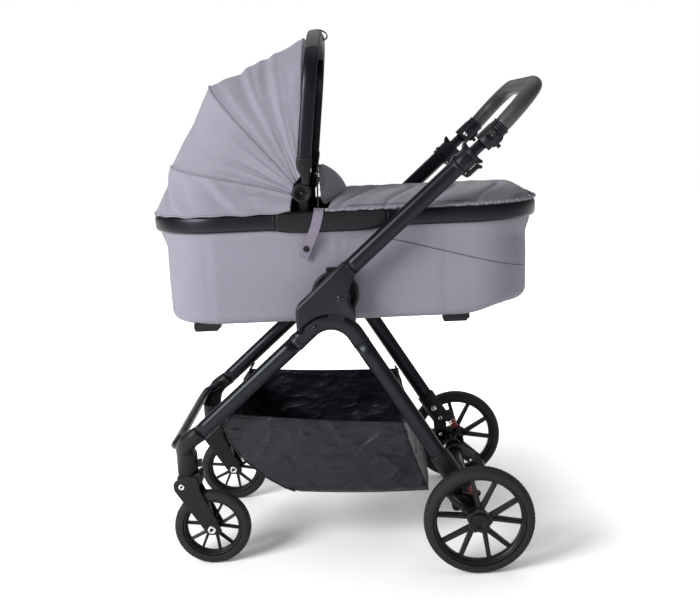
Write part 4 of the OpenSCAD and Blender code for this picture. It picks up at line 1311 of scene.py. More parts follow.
# a place on the cot's outline seen from above, t from 0 to 1, starting at the foot end
def planPoint(inset, t):
    a, b, r = chassis["cotLen"] / 2, chassis["cotWide"] / 2, chassis["cotCorner"]
    straightX, straightY, quarter = a - r, b - r, math.pi * r / 2
    legs = [straightY, quarter, 2 * straightX, quarter, 2 * straightY, quarter, 2 * straightX, quarter,
            straightY]
    d = (t % 1.0) * sum(legs)
    k = 0
    while d > legs[k] and k < 8:
        d -= legs[k]
        k += 1
    rr = r - inset
    turn = d / r
    if k in (0, 8):
        return (a - inset, d if k == 0 else -straightY + d)
    if k == 4:
        return (-(a - inset), straightY - d)
    if k == 2:
        return (straightX - d, b - inset)
    if k == 6:
        return (-straightX + d, -(b - inset))
    cx, cy, start = {1: (straightX, straightY, 0.0), 3: (-straightX, straightY, math.pi / 2),
                     5: (-straightX, -straightY, math.pi), 7: (straightX, -straightY, 1.5 * math.pi)}[k]
    return (cx + rr * math.cos(start + turn), cy + rr * math.sin(start + turn))


def planLength():
    a, b, r = chassis["cotLen"] / 2, chassis["cotWide"] / 2, chassis["cotCorner"]
    return 4 * (a - r) + 4 * (b - r) + 2 * math.pi * r


def cotFloor(x):
    return chassis["cotZ"] + cotSizes["footRise"] * ease((x - cotSizes["footFrom"]) / 150)


def crease(d, width):
    return math.exp(-(d / width) ** 2)


def makeShell():
    count, rows = 260, 44
    points, uv = [], []
    rimZ = chassis["rimZ"] + 3
    length = planLength() * 0.001
    for i in range(rows):
        v = i / (rows - 1)
        for j in range(count):
            t = j / count
            x, y = planPoint(0, t)
            low = cotFloor(x)
            drop_ = (rimZ - low) * min(1.0, v / 0.86)
            z = rimZ - drop_
            inset = 15 + cotSizes["taper"] * ease((rimZ - z) / cotSizes["taperDepth"])
            turn = max(0.0, (v - 0.72) / 0.28)
            if v > 0.72:  # the bottom edge turns under
                k = math.radians(90 * turn)
                base = low + cotSizes["corner"]
                z = base - cotSizes["corner"] * math.sin(k)
                inset += cotSizes["corner"] * (1 - math.cos(k))
                if turn >= 0.999:
                    inset += 14
            else:
                z = mix(rimZ, low + cotSizes["corner"], v / 0.72)
                inset = 15 + cotSizes["taper"] * ease((rimZ - z) / cotSizes["taperDepth"])
            belly = 2.2 * math.sin(math.pi * min(1, v / 0.8)) * (1 if abs(y) > 100 else 0.4)
            soft = 1.3 * noise.noise(Vector((x * 0.008, y * 0.008, z * 0.012)))
            panel = 0.0
            if abs(y) > 90:  # the stiffener's edges show as soft upright steps
                panel = 1.6 * (ease((x + 315) / 14) - ease((x - 215) / 14))
                panel += -1.4 * crease(x - 222, 7) - 1.0 * crease(x + 322, 7)
                dip = (x + 55) * 0.012
                pocket = crease(z - (756 + dip), 7) * ease((x + 80) / 30) * ease((62 - x) / 30)
                panel -= 3.4 * pocket
                pucker = crease(z - 742, 14) * ease((x + 90) / 30) * ease((70 - x) / 30)
                panel += pucker * 1.6 * math.sin(x * 0.16 + 2 * math.sin(x * 0.05))
            px, py = planPoint(inset - belly - soft - panel, t)
            points.append((px, py, z))
            uv.append((t * length, (rimZ - z + (inset - 15 if v > 0.9 else 0)) * 0.001))
    faces = gridFaces(rows, count, wrap=True)
    faces.append(tuple((rows - 1) * count + j for j in range(count)))
    shell = makePiece("cotFabric", points, faces, finishes["fabric"], uv, closed=False)
    fixSeamUv(shell, length)
    orientOut(shell)
    solid = shell.modifiers.new("wall", "SOLIDIFY")
    solid.thickness, solid.offset = cotSizes["wall"] * 0.001, -1
    settle(shell)
    place(shell, "carrycot", "grey_fabric", "cot_shell")
    seam = []
    for s in (1, -1):
        line = []
        for k in range(26):
            x = mix(90, 418, k / 25)
            z = mix(758, 668, k / 25)
            y = skinY(x, z)
            line.append((x, s * (y + 0.5), z))
        seam.append(sweep("seamLine", line, blunt(1.3, 1.3, 2, 6), (0.25, 0, 1), finishes["thread"]))
    place(join("cotSeams", seam), "carrycot", "grey_fabric")
    return shell


def skinY(x, z):  # how far out the cot's side lies at a place
    rimZ = chassis["rimZ"] + 3
    inset = 15 + cotSizes["taper"] * ease((rimZ - z) / cotSizes["taperDepth"])
    a, b, r = chassis["cotLen"] / 2, chassis["cotWide"] / 2, chassis["cotCorner"]
    over = abs(x) - (a - r)
    v = (rimZ - z) / (rimZ - cotFloor(x))
    belly = 2.2 * math.sin(math.pi * min(1, v / 0.8))
    step = 1.6 if -315 < x < 215 else 0.0
    if over <= 0:
        return b - inset + belly + step + 0.6
    rr = r - inset + belly + 0.6
    return (b - r) + math.sqrt(max(0, rr * rr - over * over))


def fixSeamUv(piece, length):  # the last column runs on instead of jumping back
    layer = piece.data.uv_layers[0].data
    for poly in piece.data.polygons:
        if len(poly.vertices) > 8:
            continue
        values = [layer[i].uv[0] for i in poly.loop_indices]
        if max(values) - min(values) > length / 2:
            for i in poly.loop_indices:
                if layer[i].uv[0] < length / 2:
                    layer[i].uv[0] += length


def orientOut(piece):
    bm = bmesh.new()
    bm.from_mesh(piece.data)
    bmesh.ops.recalc_face_normals(bm, faces=bm.faces)
    bm.to_mesh(piece.data)
    bm.free()


rimSizes = {"z": 803.2, "tall": 37, "wide": 16.5, "steps": 220, "holdFrom": -150, "holdTo": 95}


def makeRim():
    line = [planPoint(11.5, k / rimSizes["steps"]) + (rimSizes["z"],) for k in range(rimSizes["steps"])]
    rim = sweep("cotRim", line, blunt(rimSizes["wide"], rimSizes["tall"], 3.2, 24), (0, 0, 1),
                finishes["tube"], wrap=True)
    place(rim, "carrycot", "black_plastic", "cot_rim")

    def hold():
        x0, x1 = rimSizes["holdFrom"], rimSizes["holdTo"]
        y = chassis["cotWide"] / 2 - 10.2
        marks = [(x0, 0.84, 0), (x0 + 3, 0.98, 0), (x0 + 10, 1.0, 0), (x0 + 24, 1.05, -1.5),
                 (x0 + 50, 1.1, -2.5), (x1 - 60, 1.1, -2.5),
                 (x1 - 30, 1.05, -1.5), (x1 - 12, 1.0, 0), (x1 - 3, 0.98, 0), (x1, 0.84, 0)]
        rings = []
        for x, k, dz in marks:
            cut = blunt(19.5, 42 * k, 3.4, 28)
            rings.append([(x, y + u, rimSizes["z"] - 0.6 + dz + v) for u, v in cut])
        parts = [loft("holdBody", rings, finishes["plastic"])]
        for x in (x0 - 8, x1 + 3):
            cut = blunt(18.4, 40, 3.2, 28)
            parts.append(soften(loft("holdBand", [[(x + w, y - 0.4 + u, rimSizes["z"] + v) for u, v in cut]
                                                  for w in (0, 5.4)],
                                     finishes["plastic"]), 0.5))
        return join("handHold", parts)

    right, left = pair(hold, "carrycot", "black_plastic")
    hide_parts("hand_holds")
    stitches("holdStitchesLeft", [(x, -(chassis["cotWide"] / 2 + 0.3 - 0.75 * abs(x + 27) / 1000),
                                   rimSizes["z"] - 17.5) for x in range(-92, 41, 6)],
             4.2, "carrycot", "black_plastic")
    stitches("holdStitchesRight", [(x, chassis["cotWide"] / 2 + 0.3, rimSizes["z"] - 17.5)
                                   for x in range(-92, 41, 6)],
             4.2, "carrycot", "black_plastic")


def makeFeet():
    parts = []
    for x in (-328, 247):
        for s in (-1, 1):
            y = s * (chassis["cotWide"] / 2 - 63)
            top = cotFloor(x) + 3
            outline = [(x - 30, top), (x - 30, 560), (x - 27, 553.2), (x + 25, 553.2), (x + 27, 558),
                       (x + 32, 560), (x + 32, top)]
            parts.append(plate("foot", outline, y - 15, y + 15, finishes["plastic"], 1.6, 3))
    place(join("cotFeet", parts), "carrycot", "black_plastic", "cot_feet")


def makeAdapters():
    def disc():
        y0 = sideY - 22.6 - 1.4 - 10
        c = (pivot[0] - 12, pivot[1])
        parts = [lathe("adapterDisc", [(53.6, y0 + 1.5), (53.6, y0 + 8), (50, y0 + 9.9), (46, y0 + 9.9),
                                       (44, y0 + 8.4), (18, y0 + 8.4),
                                       (16, y0 + 9.9), (0.001, y0 + 9.9), (0.001, y0 + 8), (0.001, y0 + 7.7),
                                       (49, y0 + 7.7), (52, y0 + 6)],
                       c, finishes["plastic"], 96)]
        parts.append(lathe("adapterPin", [(6.9, y0 + 9), (6.9, sideY + 22.8), (0.001, sideY + 22.8),
                                          (0.001, y0 + 9)], pivot,
                           finishes["steel"], 32))
        return join("adapter", parts)

    right, left = pair(disc, "chassis", "black_plastic")
    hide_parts("cot_adapters")


makeRim()
makeShell()
makeFeet()
makeAdapters()
print("stage: carrycot shell and rim made")


coverSizes = {"from": -41, "to": 447, "half": 207, "low": 823.5, "crown": 20, "voxel": 6.5, "cap": 9,
              "groove": 5.5,
              "seams": (-20, 80, 181, 282, 380), "reach": 86}


def coverHalf(x):
    over = x - (chassis["cotLen"] / 2 - chassis["cotCorner"])
    r, flat = chassis["cotCorner"] - 6, chassis["cotWide"] / 2 - chassis["cotCorner"]
    return flat + (r if over <= 0 else math.sqrt(max(0.0, r * r - over * over)))


def puff(piece, voxel, pressure, cap, frames=20):  # blows a closed pad up like stuffed cloth
    remesh = piece.modifiers.new("cells", "REMESH")
    remesh.mode, remesh.voxel_size = "VOXEL", voxel * 0.001
    settle(piece)
    before = [v.co.copy() for v in piece.data.vertices]
    cloth = piece.modifiers.new("cloth", "CLOTH")
    cloth.settings.quality = 4
    cloth.settings.mass = 0.3
    cloth.settings.tension_stiffness = cloth.settings.compression_stiffness = 18
    cloth.settings.use_pressure = True
    cloth.settings.uniform_pressure_force = pressure
    cloth.settings.effector_weights.gravity = 0
    cloth.collision_settings.use_collision = False
    cloth.point_cache.frame_start, cloth.point_cache.frame_end = 1, frames
    scene = bpy.context.scene
    for f in range(1, frames + 1):
        scene.frame_set(f)
    graph = bpy.context.evaluated_depsgraph_get()
    moved = piece.evaluated_get(graph)
    after = [v.co.copy() for v in moved.data.vertices]
    piece.modifiers.clear()
    scene.frame_set(1)
    for v, a, b in zip(piece.data.vertices, before, after):
        step = b - a
        if step.length > cap * 0.001:
            step *= cap * 0.001 / step.length
        v.co = a + step
    piece.data.polygons.foreach_set("use_smooth", [True] * len(piece.data.polygons))
    return piece


def subdivide(piece, levels=1):
    sub = piece.modifiers.new("smooth", "SUBSURF")
    sub.levels = sub.render_levels = levels
    return settle(piece)


def padBetween(name, lowAt, highAt, cols, rows, finish):  # a closed pad from two height maps over one outline
    points, faces = [], []
    for surface in (lowAt, highAt):
        for i in range(rows):
            for j in range(cols):
                points.append(surface(i / (rows - 1), j / (cols - 1)))
    n = rows * cols
    faces += [tuple(reversed(f)) for f in gridFaces(rows, cols)]
    faces += [tuple(n + k for k in f) for f in gridFaces(rows, cols)]
    rim = [j for j in range(cols)] + [i * cols + cols - 1 for i in range(1, rows)]
    rim += [(rows - 1) * cols + j for j in range(cols - 2, -1, -1)] + [i * cols
                                                                       for i in range(rows - 2, 0, -1)]
    faces += [(rim[k], rim[(k + 1) % len(rim)], n + rim[(k + 1) % len(rim)], n + rim[k])
              for k in range(len(rim))]
    return makePiece(name, points, faces, finish)


def coverSpot(i, j):
    x = mix(coverSizes["from"], coverSizes["to"], i)
    v = math.sin((j - 0.5) * math.pi)
    return x, v * coverHalf(min(x, coverSizes["to"] - 0.5)), v


def coverTop(x, y):
    half = max(coverHalf(x), 52)
    v = min(1.0, abs(y) / half)
    end = ease((coverSizes["to"] + 4 - x) / 60)
    begin = 0.72 + 0.28 * ease((x - coverSizes["from"]) / 60)
    return coverSizes["low"] + 4 + coverSizes["crown"] * (1 - v ** 2.6) * (0.25 + 0.75 * end) * begin


def makeCover():
    def low(i, j):
        x, y, v = coverSpot(i, j)
        return (x, y, coverSizes["low"])

    def high(i, j):
        x, y, v = coverSpot(i, j)
        return (x, y, coverTop(x, y))

    cover = padBetween("cotCover", low, high, 46, 60, finishes["quilt"])
    puff(cover, coverSizes["voxel"], 4.0, coverSizes["cap"])
    subdivide(cover)
    for v in cover.data.vertices:
        x, y, z = (c * 1000 for c in v.co)
        top = ease((z - coverSizes["low"] - 2) / 6)
        k = min(1.0, abs(y) / max(coverHalf(min(x, 446)), 52))
        sink = 0.0
        for x0 in coverSizes["seams"]:
            line = x0 + coverSizes["reach"] * (1 - k ** 1.7)
            d = x - line
            sink += crease(d, 6.5) - 0.28 * crease(d - 24, 15) - 0.28 * crease(d + 24, 15)
        sink += 0.9 * crease(k - 0.905, 0.018) if 0 < x < 430 else 0
        ripple = 1.1 * noise.noise(Vector((x * 0.02, y * 0.02,
                                           3.0))) + 0.9 * noise.noise(Vector((x * 0.05, y * 0.04, 7.0)))
        gather = 1.5 * math.sin(x * 0.33 + math.sin(x * 0.07) * 2) * ease((k - 0.88) / 0.1)
        z += top * (ripple + gather - coverSizes["groove"] * sink)
        z = max(z, coverSizes["low"] - 1)
        v.co = (x * 0.001, y * 0.001, z * 0.001)
    cover.data.update()
    place(cover, "carrycot", "grey_fabric", "cot_cover")
    hemPath = []
    steps = 330
    for k in range(steps + 1):
        t = k / steps
        j = -1 + 2 * t
        if abs(j) > 0.62:  # the long sides
            x = mix(coverSizes["from"] + 2, 287, 1 - (abs(j) - 0.62) / 0.38)
            y = math.copysign(coverHalf(x), j)
        else:
            a = math.radians(90 * max(0.0, (abs(j) - 0.12) / 0.5))
            flat = chassis["cotWide"] / 2 - chassis["cotCorner"]
            r = chassis["cotCorner"] - 6
            x = 287 + r * math.cos(a)
            y = math.copysign(flat * min(1, abs(j) / 0.12) + r * math.sin(a), j)
        wave = math.sin(k * 1.9) + 0.6 * math.sin(k * 0.83 + 1)
        hemPath.append((x + 0.3 * wave, y * (1 + 0.0022 * wave), coverSizes["low"] + 2.4 + 0.9 * wave))

    def section(t):
        r = 3.6 + 1.0 * math.sin(t * steps * 1.9 + 1.0) + 0.5 * math.sin(t * steps * 0.7)
        return blunt(2 * r, 1.6 * r, 2, 10)

    hem = sweep("coverHem", hemPath, section, (0, 0, 1), finishes["quilt"])
    place(hem, "carrycot", "grey_fabric")
    sideSeam = []
    for s in (1, -1):
        sideSeam.append(sweep("coverStitchLine", [(x, s * (coverHalf(x) * 0.905),
                                                   coverTop(x, coverHalf(x) * 0.905) + 0.5)
                                                   for x in range(10, 287, 12)],
                              blunt(0.9, 0.9, 2, 6), (0, 0, 1), finishes["thread"]))
    place(join("coverStitching", sideSeam), "carrycot", "grey_fabric")


def makeMattress():
    a, b = chassis["cotLen"] / 2 - 62, chassis["cotWide"] / 2 - 60

    def spot(i, j):
        u, v = math.sin((i - 0.5) * math.pi), math.sin((j - 0.5) * math.pi)
        y = v * b
        reach = a - 100 + math.sqrt(max(0.0, 100 ** 2 * (1 - v ** 4)))
        return u * reach, y, u, v

    def low(i, j):
        x, y, u, v = spot(i, j)
        return (x, y, 581)

    def high(i, j):
        x, y, u, v = spot(i, j)
        return (x, y, 601 + 6 * (1 - u ** 6) * (1 - v ** 4))

    pad = padBetween("mattressPad", low, high, 30, 60, finishes["pale"])
    puff(pad, 8.0, 3.0, 6)
    subdivide(pad)
    place(pad, "carrycot", "liner_fabric", "mattress")


flapSizes = {"x": -56, "half": 176, "low": 826, "rise": 90, "reach": 58, "thick": 8}


def flapPoint(s, w, lift=0.0):  # s across from -1 to 1, w from the free edge (0) to the seam on the cover (1)
    f = flapSizes
    bend = 1 - abs(s) ** 2.2
    top = Vector((f["x"] - 3 * bend, f["half"] * s, f["low"] + f["rise"] * bend))
    foot = Vector((f["x"] + 4 + f["reach"] * bend ** 0.8, f["half"] * 0.96 * s, f["low"] + 22 * bend))
    p = top.lerp(foot, w)
    bulge = math.sin(math.pi * w) * 9 * bend
    return (p.x + bulge * 0.7 + lift * 0.75, p.y, p.z + bulge * 0.6 + lift * 0.65)


def makeFlap():
    t = flapSizes["thick"]

    def low(i, j):
        return flapPoint(mix(-1, 1, i), j, -t * 0.5 * math.sin(math.pi * i) ** 0.5)

    def high(i, j):
        return flapPoint(mix(-1, 1, i), j, t * 0.5 * math.sin(math.pi * i) ** 0.5 + 0.4)

    flap = padBetween("windFlap", low, high, 18, 60, finishes["quilt"])
    puff(flap, 4.5, 4.0, 5)
    subdivide(flap)
    place(flap, "carrycot", "grey_fabric", "wind_flap")
    edge = [flapPoint(mix(-0.99, 0.99, k / 60), 0.0) for k in range(61)]
    piping = sweep("flapPiping", edge, blunt(4.2, 4.2, 2, 10), (1, 0, 0), finishes["liner"])
    place(piping, "carrycot", "liner_fabric")
    seams = []
    for w in (0.30, 0.62):
        line = [flapPoint(mix(-0.9, 0.9, k / 40), w, t * 0.5 + 3.4) for k in range(41)]
        seams.append(sweep("flapSeam", line, blunt(1.1, 1.1, 2, 6), (1, 0, 0), finishes["thread"]))
    place(join("flapSeams", seams), "carrycot", "grey_fabric")


def makeStraps():
    for word, s in sideSign.items():
        line = [(-52, s * 196, 829), (-53, s * 206, 828), (-54, s * 213.2, 822), (-58, s * 214.4, 806),
                (-64, s * 214.6, 786), (-72, s * 208, 770),
                (-80, s * 203, 752), (-88, s * 201, 733), (-94, s * 200.5, 719)]
        line = rounded(line, 30, 3)
        rings = []
        for i, p in enumerate(line):
            q = Vector(line[min(i + 1, len(line) - 1)]) - Vector(line[max(i - 1, 0)])
            t = q.normalized()
            wide = Vector((0, s, 0)).cross(t)
            wide = (wide - t * wide.dot(t))
            wide = wide.normalized() if wide.length > 0.2 else Vector((1, 0, 0))
            if wide.x < 0:
                wide = -wide
            thick = t.cross(wide).normalized()
            half = 11.0
            rings.append([tuple(Vector(p) + wide * u + thick * v) for u,
                          v in ((half, 0.9), (-half, 0.9), (-half, -0.9), (half, -0.9))])
        strap = soften(loft("strap", rings, finishes["tape"]), 0.35, 2, 50)
        strap.name = "sideStrap" + word.title()
        place(strap, "carrycot", "grey_fabric")
        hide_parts("side_straps")
        y = s * 202.5
        snap = lathe("strapSnap" + word.title(), [(7.2, y), (7.2, y + s * 1.6), (5.6, y + s * 2.8),
                                                  (3.4, y + s * 2.4), (0.001, y + s * 2.9), (0.001, y)],
                     (-86, 741), finishes["plastic"], 32)
        place(snap, "carrycot", "black_plastic")


makeCover()
makeMattress()
makeFlap()
makeStraps()
print("stage: cover, mattress, flap and straps made")


canopy = {"bowAngle": 83.3, "upper": 130.5, "lower": 168, "bowR": 361, "upperR": 320, "lowerR": 317,
          "half": 196.5, "corner": 135,
          "bowY": 205, "ribY": 191, "lowRibY": 184.5, "across": 150, "along": 34}


# t from 0 (left) to 1 (right) over a hoop on the hubs
def hoopPoint(angle, reach, half, corner, t, foot=38.0):
    straight_ = reach - corner - foot
    quarter = math.pi * corner / 2
    top = 2 * (half - corner)
    total = 2 * straight_ + 2 * quarter + top
    d = t * total
    sign = -1
    if d > total / 2:
        d, sign = total - d, 1
    if d <= straight_:
        y, r = half, foot + d
    elif d <= straight_ + quarter:
        a = (d - straight_) / corner
        y, r = half - corner + corner * math.cos(a), reach - corner + corner * math.sin(a)
    else:
        y, r = half - corner - (d - straight_ - quarter), reach
    a = math.radians(angle)
    return Vector((hub[0] + r * math.cos(a), sign * y, hub[1] + r * math.sin(a)))


def hemPoint(t):  # the lower panel's hem, round the head end of the rim
    a, b, r = chassis["cotLen"] / 2, chassis["cotWide"] / 2, chassis["cotCorner"]
    start = hub[0] - 27
    legs = (start + (a - r), math.pi * r / 2, 2 * (b - r))
    total = 2 * legs[0] + 2 * legs[1] + legs[2]
    d = t * total
    sign = -1
    if d > total / 2:
        d, sign = total - d, 1
    out = 4.0
    if d <= legs[0]:
        x, y = start - d, b - out
    elif d <= legs[0] + legs[1]:
        k = (d - legs[0]) / r
        x, y = -(a - r) - (r - out) * math.sin(k), b - r + (r - out) * math.cos(k)
    else:
        x, y = -(a - out), b - r - (d - legs[0] - legs[1])
    lift = 2.2 * math.sin(t * 46) * 0.5 + 1.4 * math.sin(t * 91 + 1)
    near = ease((x + 150) / 40)
    return Vector((x, sign * y, 823.6 + lift * 0.7 + 5 * near))


def canopySheet(name, edgeA, edgeB, folds, sag, finish="fabric"):
    rows, cols = canopy["along"], canopy["across"]
    points, uv = [], []
    for i in range(rows):
        w = i / (rows - 1)
        for j in range(cols):
            t = j / (cols - 1)
            p, q = edgeA(t), edgeB(t)
            m = p.lerp(q, w)
            centre = Vector((hub[0], m.y * 0.35, hub[1]))
            out = (m - centre).normalized()
            depth = -sag * 4 * w * (1 - w) * math.sin(math.pi * min(1, max(0, t))) ** 0.6
            m = m + out * (depth + folds(w, t))
            points.append(tuple(m))
            uv.append((t * 0.95, w * (p - q).length * 0.001))
    sheetPiece = makePiece(name, points, gridFaces(rows, cols), finishes[finish], uv, closed=False)
    outward = Vector(points[(rows // 2) * cols + cols // 2]) - Vector((hub[0], 0, hub[1]))
    middle = sheetPiece.data.polygons[(rows // 2) * (cols - 1) + cols // 2]
    if middle.normal.dot(outward) < 0:
        sheetPiece.data.flip_normals()
    smooth = sheetPiece.modifiers.new("smooth", "SUBSURF")
    smooth.levels = smooth.render_levels = 1
    wall = sheetPiece.modifiers.new("wall", "SOLIDIFY")
    wall.thickness, wall.offset = 0.0016, -1
    settle(sheetPiece)
    return sheetPiece


def topFolds(w, t):  # w runs from the bow to the upper rib; folds fan out of the hubs
    s = abs(2 * t - 1)
    f = 0.0
    for at_, lean, wide, deep, start in ((0.34, 0.12, 0.035, 7.0, 0.9), (0.43, 0.13, 0.045, -6.0, 0.9),
                                         (0.62, 0.07, 0.035, 6.5, 0.6),
                                         (0.70, 0.06, 0.05, -6.5, 0.6), (0.84, 0.02, 0.045, 5.5, 0.8),
                                         (0.92, 0.0, 0.03, -4.5, 0.8),
                                         (0.17, 0.06, 0.05, -2.5, 0.7), (0.52, 0.30, 0.03, 3.0, 0.5)):
        fade = ease((1 - s) / 0.8)
        f += deep * crease(w - at_ - lean * (s - 0.4), wide) * fade * (0.35 + 0.65 * ease(s / start)) * 1.15
    f += 3.0 * noise.noise(Vector((w * 4, t * 9, 1.5))) + 1.4 * noise.noise(Vector((w * 11, t * 21, 6.5)))
    return f * math.sin(math.pi * w) ** 0.4


def middleFolds(w, t):
    s = abs(2 * t - 1)
    f = 3.0 * noise.noise(Vector((w * 3, t * 8, 4.5))) + 1.0 * noise.noise(Vector((w * 9, t * 25, 3.5)))
    for at_, wide, deep in ((0.30, 0.05, 3.0), (0.55, 0.05, -3.2), (0.72, 0.04, 3.4), (0.84, 0.05, -3.4),
                            (0.93, 0.03, 2.6)):
        f += deep * crease(w - at_ - 0.1 * (s - 0.7), wide) * ease((s - 0.45) / 0.3) * ease((1.02 - s) / 0.1)
    return f * math.sin(math.pi * w) ** 0.5


def lowerFolds(w, t):
    s = abs(2 * t - 1)
    f = 6.5 * noise.noise(Vector((w * 2.2 + t * 3, t * 11,
                                  8.5))) + 3.6 * noise.noise(Vector((w * 5, t * 23 - w * 4, 2.5)))
    for at_, lean, wide, deep in ((0.25, 0.35, 0.04, -6.5), (0.33, 0.30, 0.05, 6.0), (0.44, 0.16, 0.04, -4.0),
                                  (0.60, 0.22, 0.045, -6.0),
                                  (0.68, 0.2, 0.04, 5.2), (0.80, 0.1, 0.04, -3.0)):
        f += deep * crease(s - at_ - lean * (w - 0.5), wide)
    return f * math.sin(math.pi * w) ** 0.55


def bowEdge(t):
    return hoopPoint(canopy["bowAngle"] + 4.2, canopy["bowR"] - 19, canopy["half"] + 1, canopy["corner"], t,
                     40)


def upperEdge(t):
    return hoopPoint(canopy["upper"], canopy["upperR"], canopy["half"], canopy["corner"], t, 25)


def lowerEdge(t):
    p = hoopPoint(canopy["lower"], canopy["lowerR"], canopy["half"], canopy["corner"], t, 23)
    dip = (1 - min(1.0, abs(p.x - hub[0]) / 160)) ** 2 * 9
    return Vector((p.x, p.y, p.z - dip))


def makeCanopy():
    top = canopySheet("canopyTop", bowEdge, upperEdge, topFolds, 4.0)
    middle = canopySheet("canopyMiddle", upperEdge, lowerEdge, middleFolds, 2.5)
    low = canopySheet("canopyLower", lowerEdge, hemPoint, lowerFolds, 5.0)
    for piece, node, flat, area, hoops in ((top, "canopy_top", (0.87, 0.225), 0.136, ["bowTube", "upperRib"]),
                                           (middle, "canopy_middle", (0.86, 0.215), 0.121,
                                            ["upperRib", "lowerRib"]),
                                           (low, "canopy_lower", (1.06, 0.13), 0.083,
                                            ["lowerRib", "cotRim"])):
        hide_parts(node)
    spotOn(88, 250)
    spotOn(129, 250)
    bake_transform(top)
    spotOn(132, 250)
    spotOn(167, 250)
    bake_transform(middle)
    spotOn(0, 0)
    spotOn(258, 40)
    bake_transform(low)
    for name, edge, body in (("upperPiping", upperEdge, "canopy_mid"),
                             ("lowerPiping", lowerEdge, "canopy_low")):
        line = [tuple(edge(k / 120) + (edge(k / 120) - Vector((hub[0], 0, hub[1]))).normalized() * 0.8)
                for k in range(121)]
        place(sweepFree(name, line, 1.7, finishes["quilt"]), body, "grey_fabric")
        # a thin dark thread cord just under each piping: a painted shadow line standing in for the shade
        # beneath the piping
        shadowCordLine = [tuple(Vector(p) + drop_) for p, drop_ in zip(line, [Vector((-0.9, 0, -1.5))] * len(line))]
        place(sweepFree(name + "Seam", shadowCordLine, 0.75, finishes["thread"]), body, "grey_fabric")
    hem = [tuple(hemPoint(k / 200)) for k in range(201)]
    place(sweepFree("canopyHem", hem, 1.9, finishes["quilt"]), "carrycot", "grey_fabric")
    for name, angle, reach, y, body, node in (("upperRib", 130.5, 311, canopy["ribY"], "canopy_mid",
                                               "rib_upper"),
                                              ("lowerRib", 168, 308, canopy["lowRibY"], "canopy_low",
                                               "rib_lower")):
        line = [tuple(hoopPoint(angle, reach, y, 136, k / 80, 4)) for k in range(81)]
        parts = [sweepFree(name, line, 2.5, finishes["plastic"])]
        for s in (1, -1):
            parts.append(lathe("ribEye", [(5.06, s * y - 2.4), (9.6, s * y - 2.4), (9.6, s * y + 2.4),
                                          (5.06, s * y + 2.4)], hub, finishes["plastic"], 36))
        place(join(name, parts), body, "black_plastic", node)


def spotOn(angle, reach):
    p = around(hub, angle, reach)
    return (p[0] * 0.001, 0.0, p[1] * 0.001)


# a round cord through any points, its section carried along without twisting
def sweepFree(name, line, r, finish):
    rings = []
    n = None
    for i, p in enumerate(line):
        t = (Vector(line[min(i + 1, len(line) - 1)]) - Vector(line[max(i - 1, 0)])).normalized()
        if n is None:
            n = t.orthogonal().normalized()
        n = (n - t * n.dot(t)).normalized()
        b = t.cross(n)
        rings.append([tuple(Vector(p) + n * (r * math.cos(a * math.pi / 4)) + b
                            * (r * math.sin(a * math.pi / 4))) for a in range(8)])
    return loft(name, rings, finish)


